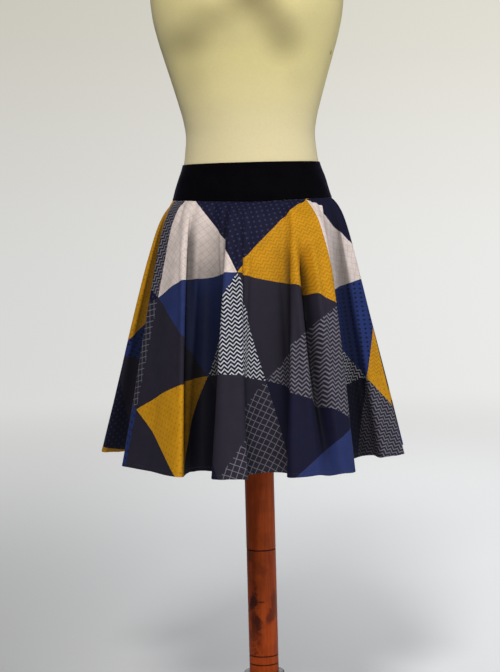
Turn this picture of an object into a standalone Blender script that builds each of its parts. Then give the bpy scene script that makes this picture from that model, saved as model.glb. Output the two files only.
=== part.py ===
"""A flared circle skirt with a wide stretch waistband, on a limbless dress form.

Metres, +Z up, the front at -Y. The origin is the middle of the base's underside, on the floor.
Angles round the body are in degrees from the front, and grow towards +X.
"""
import math
from collections import namedtuple

import bpy
from mathutils import Vector

# Gap between pieces that touch on the real thing
GAP = 0.0003

# Step along a surface for its direction there, in outline points and in shares of the length
NEARBY = 0.01

# Stand
BASE_RADIUS = 0.190
BASE_HEIGHT = 0.024
BASE_EDGE_RADIUS = 0.006
POLE_RADIUS = 0.0273
POLE_EDGE_RADIUS = 0.002
GROOVE_HEIGHTS = (0.102, 0.118, 0.318)
GROOVE_WIDTH = 0.0024
GROOVE_DEPTH = 0.0014
COLLAR_RADIUS = 0.0375
COLLAR_TOP = 0.0855
COLLAR_EDGE_RADIUS = 0.002
TURNED_SEGMENTS = 40
ARC_STEPS = 3

# Dress form
FORM_COLUMNS = 60
FORM_BOTTOM = 0.775
STEPS_UNDER_BAND = 3
BUST_HEIGHT = 1.307
BUST_SIDE = 0.078
BUST_SWELL = 0.034
BUST_BREADTH = 0.070
BUST_SPREAD = 0.052
FormSection = namedtuple("FormSection", "height half_width front back squareness")
FORM_SECTIONS = (
    FormSection(0.775, 0.128, 0.094, 0.090, 2.1),
    FormSection(0.777, 0.140, 0.103, 0.099, 2.1),
    FormSection(0.785, 0.150, 0.110, 0.107, 2.1),
    FormSection(0.815, 0.158, 0.117, 0.117, 2.1),
    FormSection(0.855, 0.161, 0.119, 0.122, 2.1),
    FormSection(0.900, 0.159, 0.116, 0.119, 2.1),
    FormSection(0.935, 0.1525, 0.111, 0.112, 2.1),
    FormSection(0.965, 0.1455, 0.106, 0.104, 2.1),
    FormSection(1.000, 0.1350, 0.100, 0.096, 2.1),
    FormSection(1.0345, 0.1240, 0.094, 0.089, 2.1),
    FormSection(1.060, 0.1205, 0.091, 0.086, 2.1),
    FormSection(1.085, 0.1185, 0.090, 0.085, 2.1),
    FormSection(1.115, 0.1226, 0.091, 0.087, 2.15),
    FormSection(1.150, 0.1317, 0.094, 0.091, 2.2),
    FormSection(1.185, 0.1418, 0.097, 0.096, 2.2),
    FormSection(1.225, 0.1538, 0.101, 0.102, 2.25),
    FormSection(1.265, 0.1653, 0.104, 0.106, 2.3),
    FormSection(1.305, 0.1738, 0.105, 0.109, 2.3),
    FormSection(1.345, 0.1775, 0.103, 0.110, 2.3),
    FormSection(1.385, 0.1785, 0.097, 0.109, 2.3),
    FormSection(1.420, 0.1755, 0.089, 0.104, 2.3),
    FormSection(1.450, 0.1640, 0.079, 0.096, 2.25),
    FormSection(1.475, 0.1430, 0.070, 0.086, 2.2),
    FormSection(1.495, 0.1150, 0.063, 0.077, 2.1),
    FormSection(1.512, 0.0860, 0.058, 0.069, 2.0),
    FormSection(1.530, 0.0665, 0.054, 0.061, 2.0),
    FormSection(1.550, 0.0585, 0.052, 0.057, 2.0),
    FormSection(1.580, 0.0560, 0.051, 0.055, 2.0),
    FormSection(1.587, 0.0535, 0.0485, 0.0525, 2.0),
    FormSection(1.590, 0.0470, 0.042, 0.046, 2.0),
)

# Waistband, a double layer of stretch velvet
BAND_THICKNESS = 0.0020
BAND_TOP = 1.0345
BAND_FOOT = 0.9696
BAND_FRONT_DIP = 0.0057
BAND_RIGHT_DIP = 0.0007
BAND_ROWS = 6

# Skirt
CLOTH_THICKNESS = 0.0015
HEM_HEIGHT = 0.500
HEM_FRONT_DIP = 0.0045
SKIRT_ROWS = 10
STEPS_PER_POINT = 3
SPRING_SHARE = 0.160
SPRING_LENGTH = 0.045
ROW_CROWDING = 1.35

# Flutes round the hem. Left and right are the angles of a flute's two edges, seen from outside, and
# the valley is the one after its right edge. The cloth of each leaves the waistband at the angle of
# the same name. Bulge is how far the flute's front stands out between its edges.
Flute = namedtuple(
    "Flute",
    "band_left band_right band_valley left left_reach right right_reach bulge valley valley_reach",
)
FLUTES = (
    Flute(-112.0, -100.0, -88.0, -112.0, 0.300, -101.0, 0.297, 0.012, -87.0, 0.217),
    Flute(-76.0, -56.0, -40.0, -63.9, 0.2643, -27.1, 0.2865, 0.009, -29.0, 0.227),
    Flute(-21.0, -8.0, 10.0, -15.8, 0.3003, -4.4, 0.2999, 0.010, 2.4, 0.236),
    Flute(36.5, 62.0, 68.0, 9.5, 0.287, 33.0, 0.3004, 0.016, 54.0, 0.200),
    Flute(75.0, 82.0, 92.0, 66.5, 0.240, 75.0, 0.2735, 0.004, 90.0, 0.220),
    Flute(102.0, 113.0, 122.0, 99.0, 0.271, 113.0, 0.281, 0.008, 122.5, 0.216),
    Flute(131.0, 142.0, 151.5, 130.5, 0.284, 143.0, 0.288, 0.012, 152.5, 0.213),
    Flute(161.0, 173.0, 182.0, 161.0, 0.284, 174.5, 0.291, 0.013, 182.5, 0.217),
    Flute(191.0, 203.0, 212.0, 190.5, 0.287, 204.5, 0.292, 0.015, 213.0, 0.219),
    Flute(221.0, 231.0, 239.5, 221.0, 0.278, 232.5, 0.281, 0.011, 239.5, 0.226),
)

# Walls between a flute and its valley: the middle of a wall by its share of the drop, how far it is
# drawn in under the flute's edge, and its share of the way round the waistband
WALL_DEPTH = 0.5
WALL_TUCK = 0.011
WALL_BAND_SHARE = 0.35

# Outline points of the side seams, in the valleys after the first and the fifth flute
SIDE_SEAMS = (4, 28)

# Finishes
PRINT_COLOUR = (0.060, 0.065, 0.130)
VELVET_COLOUR = (0.006, 0.006, 0.012)
JERSEY_COLOUR = (0.640, 0.565, 0.265)
WOOD_COLOUR = (0.225, 0.055, 0.020)
COLLAR_COLOUR = (0.045, 0.047, 0.050)


def clear_scene():
    for item in list(bpy.data.objects):
        bpy.data.objects.remove(item, do_unlink=True)


def finish(name, colour, roughness, metallic=0.0):
    """A plain Principled finish for one piece."""
    material = bpy.data.materials.new(name)
    material.use_nodes = True
    shader = material.node_tree.nodes["Principled BSDF"]
    shader.inputs["Base Color"].default_value = (*colour, 1.0)
    shader.inputs["Roughness"].default_value = roughness
    shader.inputs["Metallic"].default_value = metallic
    return material


def make_object(name, points, faces, material, smooth_angle=math.radians(40)):
    mesh = bpy.data.meshes.new(name)
    mesh.from_pydata(points, [], faces)
    mesh.materials.append(material)
    mesh.shade_smooth()
    mesh.set_sharp_from_angle(angle=smooth_angle)
    item = bpy.data.objects.new(name, mesh)
    bpy.context.scene.collection.objects.link(item)
    return item


def ring_faces(rings, columns):
    """Quads between rings of the same number of points, closed round the body."""
    faces = []
    for ring in range(rings - 1):
        for column in range(columns):
            after = (column + 1) % columns
            low = ring * columns
            high = low + columns
            faces.append((low + column, low + after, high + after, high + column))
    return faces


def corner_arc(radius, height, corner, start_degrees, end_degrees):
    """Profile points of a rounded edge: (distance from the axis, height)."""
    points = []
    for step in range(ARC_STEPS + 1):
        angle = math.radians(start_degrees + (end_degrees - start_degrees) * step / ARC_STEPS)
        points.append((radius + corner * math.cos(angle), height + corner * math.sin(angle)))
    return points


def turned_piece(name, profile, material):
    """A solid turned round the axis from an open profile that runs upwards on its outside."""
    points = []
    for radius, height in profile:
        for column in range(TURNED_SEGMENTS):
            angle = 2 * math.pi * column / TURNED_SEGMENTS
            points.append((radius * math.cos(angle), radius * math.sin(angle), height))
    faces = ring_faces(len(profile), TURNED_SEGMENTS)
    top = (len(profile) - 1) * TURNED_SEGMENTS
    faces.append(tuple(reversed(range(TURNED_SEGMENTS))))
    faces.append(tuple(range(top, top + TURNED_SEGMENTS)))
    return make_object(name, points, faces, material)


def turned_ring(name, profile, material):
    """A ring turned round the axis from a closed profile that runs upwards on its outside."""
    points = []
    for radius, height in profile:
        for column in range(TURNED_SEGMENTS):
            angle = 2 * math.pi * column / TURNED_SEGMENTS
            points.append((radius * math.cos(angle), radius * math.sin(angle), height))
    faces = ring_faces(len(profile), TURNED_SEGMENTS)
    last = (len(profile) - 1) * TURNED_SEGMENTS
    for column in range(TURNED_SEGMENTS):
        after = (column + 1) % TURNED_SEGMENTS
        faces.append((last + column, last + after, after, column))
    return make_object(name, points, faces, material)


def hermite(start, end, leaving, arriving, share):
    squared = share * share
    cubed = squared * share
    return (
        start * (2 * cubed - 3 * squared + 1)
        + leaving * (cubed - 2 * squared + share)
        + end * (3 * squared - 2 * cubed)
        + arriving * (cubed - squared)
    )


def smooth_value(places, values, place):
    """Value at a place on a smooth curve through (places, values), without overshoot."""
    last = len(places) - 1
    index = min(max(sum(1 for known in places if known <= place) - 1, 0), last - 1)

    def slope(at):
        if at == 0 or at == last:
            near = max(at, 1)
            return (values[near] - values[near - 1]) / (places[near] - places[near - 1])
        before = (values[at] - values[at - 1]) / (places[at] - places[at - 1])
        behind = (values[at + 1] - values[at]) / (places[at + 1] - places[at])
        if before * behind <= 0:
            return 0.0
        return 2 * before * behind / (before + behind)

    width = places[index + 1] - places[index]
    share = (place - places[index]) / width
    leaving = width * slope(index)
    arriving = width * slope(index + 1)
    return hermite(values[index], values[index + 1], leaving, arriving, share)


def form_size(height, column):
    places = [section.height for section in FORM_SECTIONS]
    values = [getattr(section, column) for section in FORM_SECTIONS]
    return smooth_value(places, values, height)


def form_point(height, degrees, out=0.0):
    """A point on the dress form, or a distance out from it in its level section."""
    def bare(angle):
        side = math.sin(angle)
        ahead = math.cos(angle)
        depth = form_size(height, "front" if ahead > 0 else "back")
        power = form_size(height, "squareness")
        width = form_size(height, "half_width")
        reach = (abs(side / width) ** power + abs(ahead / depth) ** power) ** (-1 / power)
        x = reach * side
        y = -reach * ahead
        if ahead > 0:
            rise = (height - BUST_HEIGHT) / BUST_SPREAD
            for centre in (-BUST_SIDE, BUST_SIDE):
                across = (x - centre) / BUST_BREADTH
                y -= BUST_SWELL * math.exp(-across * across - rise * rise) * ahead
        return Vector((x, y, height))

    angle = math.radians(degrees)
    point = bare(angle)
    if out:
        nearby = math.radians(0.5)
        along = bare(angle + nearby) - bare(angle - nearby)
        point += Vector((along.y, -along.x, 0)).normalized() * out
    return point


def form_heights():
    """Heights of the form's rings: its sections, and closer ones under the waistband."""
    heights = [FORM_SECTIONS[0].height]
    for below, above in zip(FORM_SECTIONS, FORM_SECTIONS[1:]):
        under_band = below.height < BAND_TOP and above.height > BAND_FOOT
        steps = STEPS_UNDER_BAND if under_band else 1
        for step in range(1, steps + 1):
            heights.append(below.height + (above.height - below.height) * step / steps)
    return heights


def make_form(material):
    heights = form_heights()
    points = []
    for height in heights:
        for column in range(FORM_COLUMNS):
            points.append(form_point(height, 360 * column / FORM_COLUMNS))
    faces = ring_faces(len(heights), FORM_COLUMNS)
    top = (len(heights) - 1) * FORM_COLUMNS
    faces.append(tuple(reversed(range(FORM_COLUMNS))))
    faces.append(tuple(range(top, top + FORM_COLUMNS)))
    return make_object("form_torso", points, faces, material)


def band_foot(degrees):
    """Height of the waistband's lower edge, which dips a little at the front and the right."""
    angle = math.radians(degrees)
    ahead = max(math.cos(angle), 0.0)
    return BAND_FOOT - BAND_FRONT_DIP * ahead * ahead - BAND_RIGHT_DIP * math.sin(angle)


def make_waistband(material):
    """A ring of even level thickness round the form."""
    inner = []
    outer = []
    for row in range(BAND_ROWS):
        share = row / (BAND_ROWS - 1)
        for column in range(FORM_COLUMNS):
            degrees = 360 * column / FORM_COLUMNS
            foot = band_foot(degrees)
            height = foot + (BAND_TOP - foot) * share
            inner.append(form_point(height, degrees, GAP))
            outer.append(form_point(height, degrees, GAP + BAND_THICKNESS))
    faces = ring_faces(BAND_ROWS, FORM_COLUMNS)
    faces += [tuple(len(outer) + corner for corner in reversed(face)) for face in faces]
    top = (BAND_ROWS - 1) * FORM_COLUMNS
    for column in range(FORM_COLUMNS):
        after = (column + 1) % FORM_COLUMNS
        faces.append((after, column, len(outer) + column, len(outer) + after))
        faces.append((
            top + column, top + after, len(outer) + top + after, len(outer) + top + column
        ))
    make_object("waistband", outer + inner, faces, material)


def in_plan(degrees, reach):
    angle = math.radians(degrees)
    return Vector((math.sin(angle), -math.cos(angle))) * reach


def tucked_wall(degrees, reach, valley_reach, tuck):
    """A point of a flute's wall, drawn in under its edge."""
    drop = (reach - valley_reach) * WALL_DEPTH
    angle = math.radians(degrees)
    return in_plan(degrees, reach - drop) + Vector((math.cos(angle), math.sin(angle))) * tuck


def hem_outline():
    """Points round the hem in plan, each with the angle at which its cloth leaves the band.

    A flute has six: left edge, front, right edge, right wall, valley, and the next left wall.
    """
    outline = []
    for number, flute in enumerate(FLUTES):
        wrapped = number + 1 == len(FLUTES)
        after = FLUTES[0] if wrapped else FLUTES[number + 1]
        after_band_left = after.band_left + (360 if wrapped else 0)
        left = in_plan(flute.left, flute.left_reach)
        right = in_plan(flute.right, flute.right_reach)
        chord = right - left
        outward = Vector((chord.y, -chord.x)).normalized()
        front = (left + right) / 2 + outward * flute.bulge
        right_wall = tucked_wall(
            flute.right, flute.right_reach, flute.valley_reach, -WALL_TUCK
        )
        left_wall = tucked_wall(after.left, after.left_reach, flute.valley_reach, WALL_TUCK)
        down = flute.band_valley - flute.band_right
        up = after_band_left - flute.band_valley
        outline += [
            (flute.band_left, left),
            ((flute.band_left + flute.band_right) / 2, front),
            (flute.band_right, right),
            (flute.band_right + down * WALL_BAND_SHARE, right_wall),
            (flute.band_valley, in_plan(flute.valley, flute.valley_reach)),
            (after_band_left - up * WALL_BAND_SHARE, left_wall),
        ]
    return outline


OUTLINE = hem_outline()


def outline_at(index):
    """A point of the hem's outline, counted on round the body, with its angle unwrapped."""
    rounds, place = divmod(index, len(OUTLINE))
    degrees, point = OUTLINE[place]
    return degrees + 360 * rounds, point


def hem_direction(index):
    """Direction of the hem at a point of its outline, led by the nearer neighbour."""
    here = outline_at(index)[1]
    before = here - outline_at(index - 1)[1]
    after = outline_at(index + 1)[1] - here
    return (before / before.length**2 + after / after.length**2).normalized()


def hem_point(place):
    """Point of the hem in plan, at a place counted in outline points round the body."""
    index = math.floor(place)
    start = outline_at(index)[1]
    end = outline_at(index + 1)[1]
    length = (end - start).length
    leaving = hem_direction(index) * length
    arriving = hem_direction(index + 1) * length
    return hermite(start, end, leaving, arriving, place - index)


def band_angle(place):
    """Angle at which the cloth of that place leaves the waistband."""
    index = math.floor(place)
    angles = [outline_at(index + step)[0] for step in (-1, 0, 1, 2)]
    steps = [after - before for before, after in zip(angles, angles[1:])]
    leaving = 2 * steps[0] * steps[1] / (steps[0] + steps[1])
    arriving = 2 * steps[1] * steps[2] / (steps[1] + steps[2])
    return hermite(angles[1], angles[2], leaving, arriving, place - index)


def flare(share):
    """Part of the way out from waistband to hem: a quick spring over the hips, then straight."""
    full = SPRING_SHARE * (1 - math.exp(-1 / SPRING_LENGTH))
    spring = SPRING_SHARE * (1 - math.exp(-share / SPRING_LENGTH))
    return share * (1 - full) + spring


def skirt_point(place, share):
    """Middle of the cloth, at a place round the body and a share of the way down."""
    degrees = band_angle(place)
    top = form_point(band_foot(degrees), degrees, GAP + BAND_THICKNESS / 2)
    top.z -= GAP
    hem = hem_point(place)
    ahead = max(-hem.y / hem.length, 0.0)
    hem_height = HEM_HEIGHT - HEM_FRONT_DIP * ahead
    out = flare(share)
    return Vector((
        top.x + (hem.x - top.x) * out,
        top.y + (hem.y - top.y) * out,
        top.z + (hem_height - top.z) * share,
    ))


def skirt_normal(place, share):
    """Outward direction of the cloth, the same for both panels that meet at a seam.

    It is level at the top edge, so that the edge lies flat under the waistband.
    """
    around = skirt_point(place + NEARBY, share) - skirt_point(place - NEARBY, share)
    low = min(share + NEARBY, 1.0)
    down = skirt_point(place, low) - skirt_point(place, low - 2 * NEARBY)
    if share == 0:
        down = Vector((0, 0, -1))
    return down.cross(around).normalized()


def make_panel(name, first, last, material):
    """One half of the skirt between two side seams, as a wall of even thickness."""
    steps = (last - first) * STEPS_PER_POINT
    columns = steps + 1
    layers = ([], [])
    for row in range(SKIRT_ROWS):
        share = (1 - row / (SKIRT_ROWS - 1)) ** ROW_CROWDING
        for layer, side in zip(layers, (1, -1)):
            line = []
            for step in range(columns):
                place = first + step / STEPS_PER_POINT
                out = skirt_normal(place, share) * (side * CLOTH_THICKNESS / 2)
                line.append(skirt_point(place, share) + out)
            seam_gap = GAP / 2
            for end, inward in ((0, 1), (steps, -1)):
                place = first + end / STEPS_PER_POINT
                along = skirt_point(place + NEARBY, share) - skirt_point(place - NEARBY, share)
                line[end] += along.normalized() * (inward * seam_gap)
            layer.extend(line)
    outer, inner = layers
    faces = []
    for row in range(SKIRT_ROWS - 1):
        for step in range(steps):
            low = row * columns + step
            high = low + columns
            faces.append((low, low + 1, high + 1, high))
            faces.append(tuple(len(outer) + corner for corner in (low, high, high + 1, low + 1)))
    edge = list(range(columns))
    edge += [row * columns + steps for row in range(1, SKIRT_ROWS)]
    edge += [(SKIRT_ROWS - 1) * columns + step for step in range(steps - 1, -1, -1)]
    edge += [row * columns for row in range(SKIRT_ROWS - 2, 0, -1)]
    for here, after in zip(edge, edge[1:] + edge[:1]):
        faces.append((after, here, here + len(outer), after + len(outer)))
    make_object(name, outer + inner, faces, material)


def make_stand(wood, dark):
    foot = [(BASE_RADIUS - BASE_EDGE_RADIUS, 0.0)]
    foot += corner_arc(BASE_RADIUS - BASE_EDGE_RADIUS, BASE_EDGE_RADIUS, BASE_EDGE_RADIUS, -60, 0)
    foot += corner_arc(
        BASE_RADIUS - BASE_EDGE_RADIUS, BASE_HEIGHT - BASE_EDGE_RADIUS, BASE_EDGE_RADIUS, 0, 90
    )
    turned_piece("base", foot, wood)

    low = BASE_HEIGHT + GAP
    high = FORM_BOTTOM - GAP
    shaft = [(POLE_RADIUS - POLE_EDGE_RADIUS, low)]
    shaft += corner_arc(
        POLE_RADIUS - POLE_EDGE_RADIUS, low + POLE_EDGE_RADIUS, POLE_EDGE_RADIUS, -60, 0
    )
    for height in GROOVE_HEIGHTS:
        shaft += [
            (POLE_RADIUS, height - GROOVE_WIDTH / 2),
            (POLE_RADIUS - GROOVE_DEPTH, height),
            (POLE_RADIUS, height + GROOVE_WIDTH / 2),
        ]
    shaft += corner_arc(
        POLE_RADIUS - POLE_EDGE_RADIUS, high - POLE_EDGE_RADIUS, POLE_EDGE_RADIUS, 0, 90
    )
    turned_piece("pole", shaft, wood)

    hole = POLE_RADIUS + GAP
    edge = COLLAR_RADIUS - COLLAR_EDGE_RADIUS
    ring = [(hole, low), (COLLAR_RADIUS, low)]
    ring += corner_arc(edge, COLLAR_TOP - COLLAR_EDGE_RADIUS, COLLAR_EDGE_RADIUS, 0, 90)
    ring += [(hole, COLLAR_TOP)]
    turned_ring("pole_collar", ring, dark)


def main():
    clear_scene()
    wood = finish("varnished_wood", WOOD_COLOUR, 0.35)
    dark = finish("dark_collar", COLLAR_COLOUR, 0.45)
    jersey = finish("cream_jersey", JERSEY_COLOUR, 0.85)
    velvet = finish("black_velvet", VELVET_COLOUR, 0.90)
    cloth = finish("printed_cloth", PRINT_COLOUR, 0.80)
    make_stand(wood, dark)
    make_form(jersey)
    make_waistband(velvet)
    left, right = SIDE_SEAMS
    make_panel("skirt_front", left, right, cloth)
    make_panel("skirt_back", right, left + len(OUTLINE), cloth)


main()
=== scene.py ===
import math
from collections import namedtuple

import bpy
import numpy as np
from mathutils import Matrix, Vector


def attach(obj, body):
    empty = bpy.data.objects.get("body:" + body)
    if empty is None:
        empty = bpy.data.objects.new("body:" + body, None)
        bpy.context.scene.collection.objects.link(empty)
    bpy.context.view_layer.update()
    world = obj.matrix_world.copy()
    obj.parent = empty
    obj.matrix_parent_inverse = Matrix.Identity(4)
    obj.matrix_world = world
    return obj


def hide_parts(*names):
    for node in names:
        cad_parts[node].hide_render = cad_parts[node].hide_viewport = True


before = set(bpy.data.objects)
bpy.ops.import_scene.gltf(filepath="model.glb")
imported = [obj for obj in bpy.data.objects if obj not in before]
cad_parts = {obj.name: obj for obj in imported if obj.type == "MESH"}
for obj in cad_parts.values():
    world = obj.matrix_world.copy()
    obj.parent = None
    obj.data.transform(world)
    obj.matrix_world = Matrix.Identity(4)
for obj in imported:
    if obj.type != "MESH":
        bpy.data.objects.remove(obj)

bl_info = {
    "name": "Circle Skirt on Dress Form",
    "version": (1, 0, 0),
    "blender": (4, 5, 0),
    "location": "3D View > Sidebar > Skirt",
    "description": "Makes a flared, printed skirt with a velvet waistband on a dress form",
    "category": "Object",
}

# Metres, +Z up, the front at -Y. Angles round the body are in degrees from the front, and grow
# towards +X.

BODY = "root"


def table(kind, rows):
    """A named tuple of that kind for each row."""
    return tuple(kind(*row) for row in rows)


# Gap between pieces that touch on the real thing
GAP = 0.0003

# Step along a surface for its direction there, in outline points and in shares of the length, and
# round the form
NEARBY = 0.01
NEARBY_DEGREES = 0.5

# Stand
BASE_RADIUS = 0.190
BASE_HEIGHT = 0.024
BASE_EDGE_RADIUS = 0.006
POLE_RADIUS = 0.0273
POLE_EDGE_RADIUS = 0.002
GROOVE_HEIGHTS = (0.102, 0.118, 0.318)
GROOVE_WIDTH = 0.0024
GROOVE_DEPTH = 0.0014
GROOVE_STEPS = 8
COLLAR_RADIUS = 0.0375
COLLAR_TOP = 0.0855
COLLAR_EDGE_RADIUS = 0.002
TURNED_SEGMENTS = 128
ARC_STEPS = 8

# Lowest angle of the rounded edge at the foot of the base and of the pole
FOOT_ARC_START = -60

# Stains in the pole's varnish: middle, and half sizes round and up the pole
Stain = namedtuple("Stain", "x y z half_width half_height strength")
POLE_STAINS = table(Stain, (
    (-0.0178, -0.0207, 0.220, 0.0115, 0.026, 0.96),
    (-0.0110, -0.0250, 0.184, 0.0120, 0.028, 0.93),
    (-0.0165, -0.0217, 0.178, 0.0150, 0.066, 0.78),
    (-0.0052, -0.0268, 0.2215, 0.0080, 0.0022, 0.80),
    (0.0135, -0.0237, 0.194, 0.0110, 0.019, 0.66),
    (0.0215, -0.0168, 0.214, 0.0085, 0.028, 0.56),
    (-0.0020, -0.0272, 0.282, 0.0170, 0.013, 0.30),
    (-0.0225, -0.0155, 0.306, 0.0080, 0.015, 0.48),
    (0.0180, 0.0205, 0.300, 0.0100, 0.020, 0.60),
    (-0.0100, 0.0254, 0.180, 0.0090, 0.016, 0.75),
))

# Dress form
FORM_COLUMNS = 220
FORM_ROW_HEIGHT = 0.005
FORM_LEAST_ROWS = 3
FORM_BOTTOM = 0.775
BUST_HEIGHT = 1.307
BUST_SIDE = 0.078
BUST_SWELL = 0.034
BUST_BREADTH = 0.070
BUST_SPREAD = 0.052

# Level sections of the form: squareness is the power of each section's curve
FormSection = namedtuple("FormSection", "height half_width front back squareness")
FORM_SECTIONS = table(FormSection, (
    (0.775, 0.128, 0.094, 0.090, 2.1),
    (0.777, 0.140, 0.103, 0.099, 2.1),
    (0.785, 0.150, 0.110, 0.107, 2.1),
    (0.815, 0.158, 0.117, 0.117, 2.1),
    (0.855, 0.161, 0.119, 0.122, 2.1),
    (0.900, 0.159, 0.116, 0.119, 2.1),
    (0.935, 0.1525, 0.111, 0.112, 2.1),
    (0.965, 0.1455, 0.106, 0.104, 2.1),
    (1.000, 0.1350, 0.100, 0.096, 2.1),
    (1.0345, 0.1240, 0.094, 0.089, 2.1),
    (1.060, 0.1205, 0.091, 0.086, 2.1),
    (1.085, 0.1185, 0.090, 0.085, 2.1),
    (1.115, 0.1226, 0.091, 0.087, 2.15),
    (1.150, 0.1317, 0.094, 0.091, 2.2),
    (1.185, 0.1418, 0.097, 0.096, 2.2),
    (1.225, 0.1538, 0.101, 0.102, 2.25),
    (1.265, 0.1653, 0.104, 0.106, 2.3),
    (1.305, 0.1738, 0.105, 0.109, 2.3),
    (1.345, 0.1775, 0.103, 0.110, 2.3),
    (1.385, 0.1785, 0.097, 0.109, 2.3),
    (1.420, 0.1755, 0.089, 0.104, 2.3),
    (1.450, 0.1640, 0.079, 0.096, 2.25),
    (1.475, 0.1430, 0.070, 0.086, 2.2),
    (1.495, 0.1150, 0.063, 0.077, 2.1),
    (1.512, 0.0860, 0.058, 0.069, 2.0),
    (1.530, 0.0665, 0.054, 0.061, 2.0),
    (1.550, 0.0585, 0.052, 0.057, 2.0),
    (1.580, 0.0560, 0.051, 0.055, 2.0),
    (1.587, 0.0535, 0.0485, 0.0525, 2.0),
    (1.590, 0.0470, 0.042, 0.046, 2.0),
))

# Length round the form that one turn of its jersey pattern takes
JERSEY_ROUND = 0.96

# Small dents in the jersey: middle, half sizes along X and Z, and depth. Slant is how far they rise
# for each metre across.
DENT_SLANT = 0.15
JerseyDent = namedtuple("JerseyDent", "x z half_width half_height depth")
JERSEY_DENTS = table(JerseyDent, (
    (0.061, 1.204, 0.013, 0.0022, 0.0011),
    (0.070, 1.190, 0.006, 0.0016, 0.0006),
    (-0.052, 1.118, 0.016, 0.0030, 0.0005),
    (0.020, 1.082, 0.020, 0.0028, 0.0005),
))

# Painted shade on the front of the jersey, most of it under the bust, where the bust shades the
# form: middle, half sizes along X and Z, and strength
PaintedJerseyShade = namedtuple("PaintedJerseyShade", "x z half_width half_height strength")
PAINTED_JERSEY_SHADES = table(PaintedJerseyShade, (
    (-0.112, 1.252, 0.056, 0.040, 0.42),
    (-0.055, 1.297, 0.060, 0.040, 0.36),
    (0.006, 1.322, 0.064, 0.044, 0.74),
    (0.040, 1.292, 0.048, 0.044, 0.40),
    (0.064, 1.248, 0.046, 0.046, 0.42),
    (0.088, 1.180, 0.034, 0.034, 0.08),
    (-0.098, 1.190, 0.030, 0.050, 0.10),
))

# Waistband
BAND_THICKNESS = 0.0020
BAND_TOP = 1.0345
BAND_FOOT = 0.9696
BAND_FRONT_DIP = 0.0057
BAND_RIGHT_DIP = 0.0007
BAND_ROWS = 26
BAND_COLUMNS = 360
BAND_SWELL = 0.0006
BAND_LIP = 0.0005
BAND_LIP_HEIGHT = 0.004
BAND_SEAM_ANGLE = 180.0
BAND_SEAM_DEPTH = 0.0010
BAND_SEAM_WIDTH = 0.0014

# Distance of the band's centre-back seam from the axis, and extra columns beside it
BAND_SEAM_REACH = 0.09
BESIDE_BAND_SEAM = (0.25, 0.5, 0.75)
BAND_EDGE_DEGREES = (30, 60, 90, 120, 150)

# Slow unevenness of the velvet: rounds are whole waves round the body, drift turns them up the band
BAND_UNEVENNESS = 0.00022
BandWave = namedtuple("BandWave", "rounds drift start part")
BAND_WAVES = table(BandWave, (
    (7, 3, 0.0, 1.0),
    (11, -5, 1.0, 1.0),
    (17, 8, 2.0, 0.7),
))

# Skirt: how it springs out over the hips, and the ring sectors that it is cut from
HEM_HEIGHT = 0.500
HEM_FRONT_DIP = 0.0045
SPRING_SHARE = 0.160
SPRING_LENGTH = 0.045
CUT_INNER_RADIUS = 0.208
CUT_LENGTH = 0.497
CUT_OUTER_RADIUS = CUT_INNER_RADIUS + CUT_LENGTH

# Columns of the cloth: even along the hem, a few more beside each side seam, and some past it that
# only serve for directions, counted in outline points
COLUMN_WIDTH = 0.0038
LEAST_COLUMNS = 7
MOST_COLUMNS = 26
ARC_STEPS_PER_POINT = 16
BESIDE_SEAM = (0.012, 0.026, 0.040, 0.060)
PAST_SEAM = (0.02, 0.04)

# Rows of the cloth: they crowd at the waistband, by that power, and at the hem
TOP_ROWS = 26
MIDDLE_ROWS = 78
HEM_ROWS = 10
TOP_SHARE = 0.12
TOP_CROWDING = 1.3
HEM_SHARE = 0.978

# Side seams. Below the waistband, creases and seams set in over the ease share.
SEAM_GROOVE_DEPTH = 0.0007
SEAM_GROOVE_WIDTH = 0.0016
SEAM_EASE_SHARE = 0.014

# Turned hem: the step at its upper edge, what it adds outside, and how its stitches draw it in
HEM_STEP = 0.0012
HEM_OUTSIDE = 0.00012
STITCH_PULL = 0.00022
STITCH_PULL_WIDTH = 0.0009
HEM_BEND_DEGREES = (35, 70, 110, 145)

# The stitches' middle lies that deep in the cloth, less that share of the thread's radius
STITCH_SINK = 0.0002
STITCH_RAISE = 0.35

# Painted shade in the folds: the cloth's colour is darkened where the folds would hide it from the
# light. Folds are looked for as many steps round to each side. A crease paints shade on the cloth
# in it by its depth in metres times the crease factor below. Folds that open ahead, towards the key
# lamp, from that cosine of their angle on, get up to that share less painted shade.
FOLD_STEPS_PER_POINT = 16
FOLD_STEPS = 48
CREASE_PAINTED_SHADE = 22.0
AHEAD_FROM = 0.951
AHEAD_OPENNESS = 0.60

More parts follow.
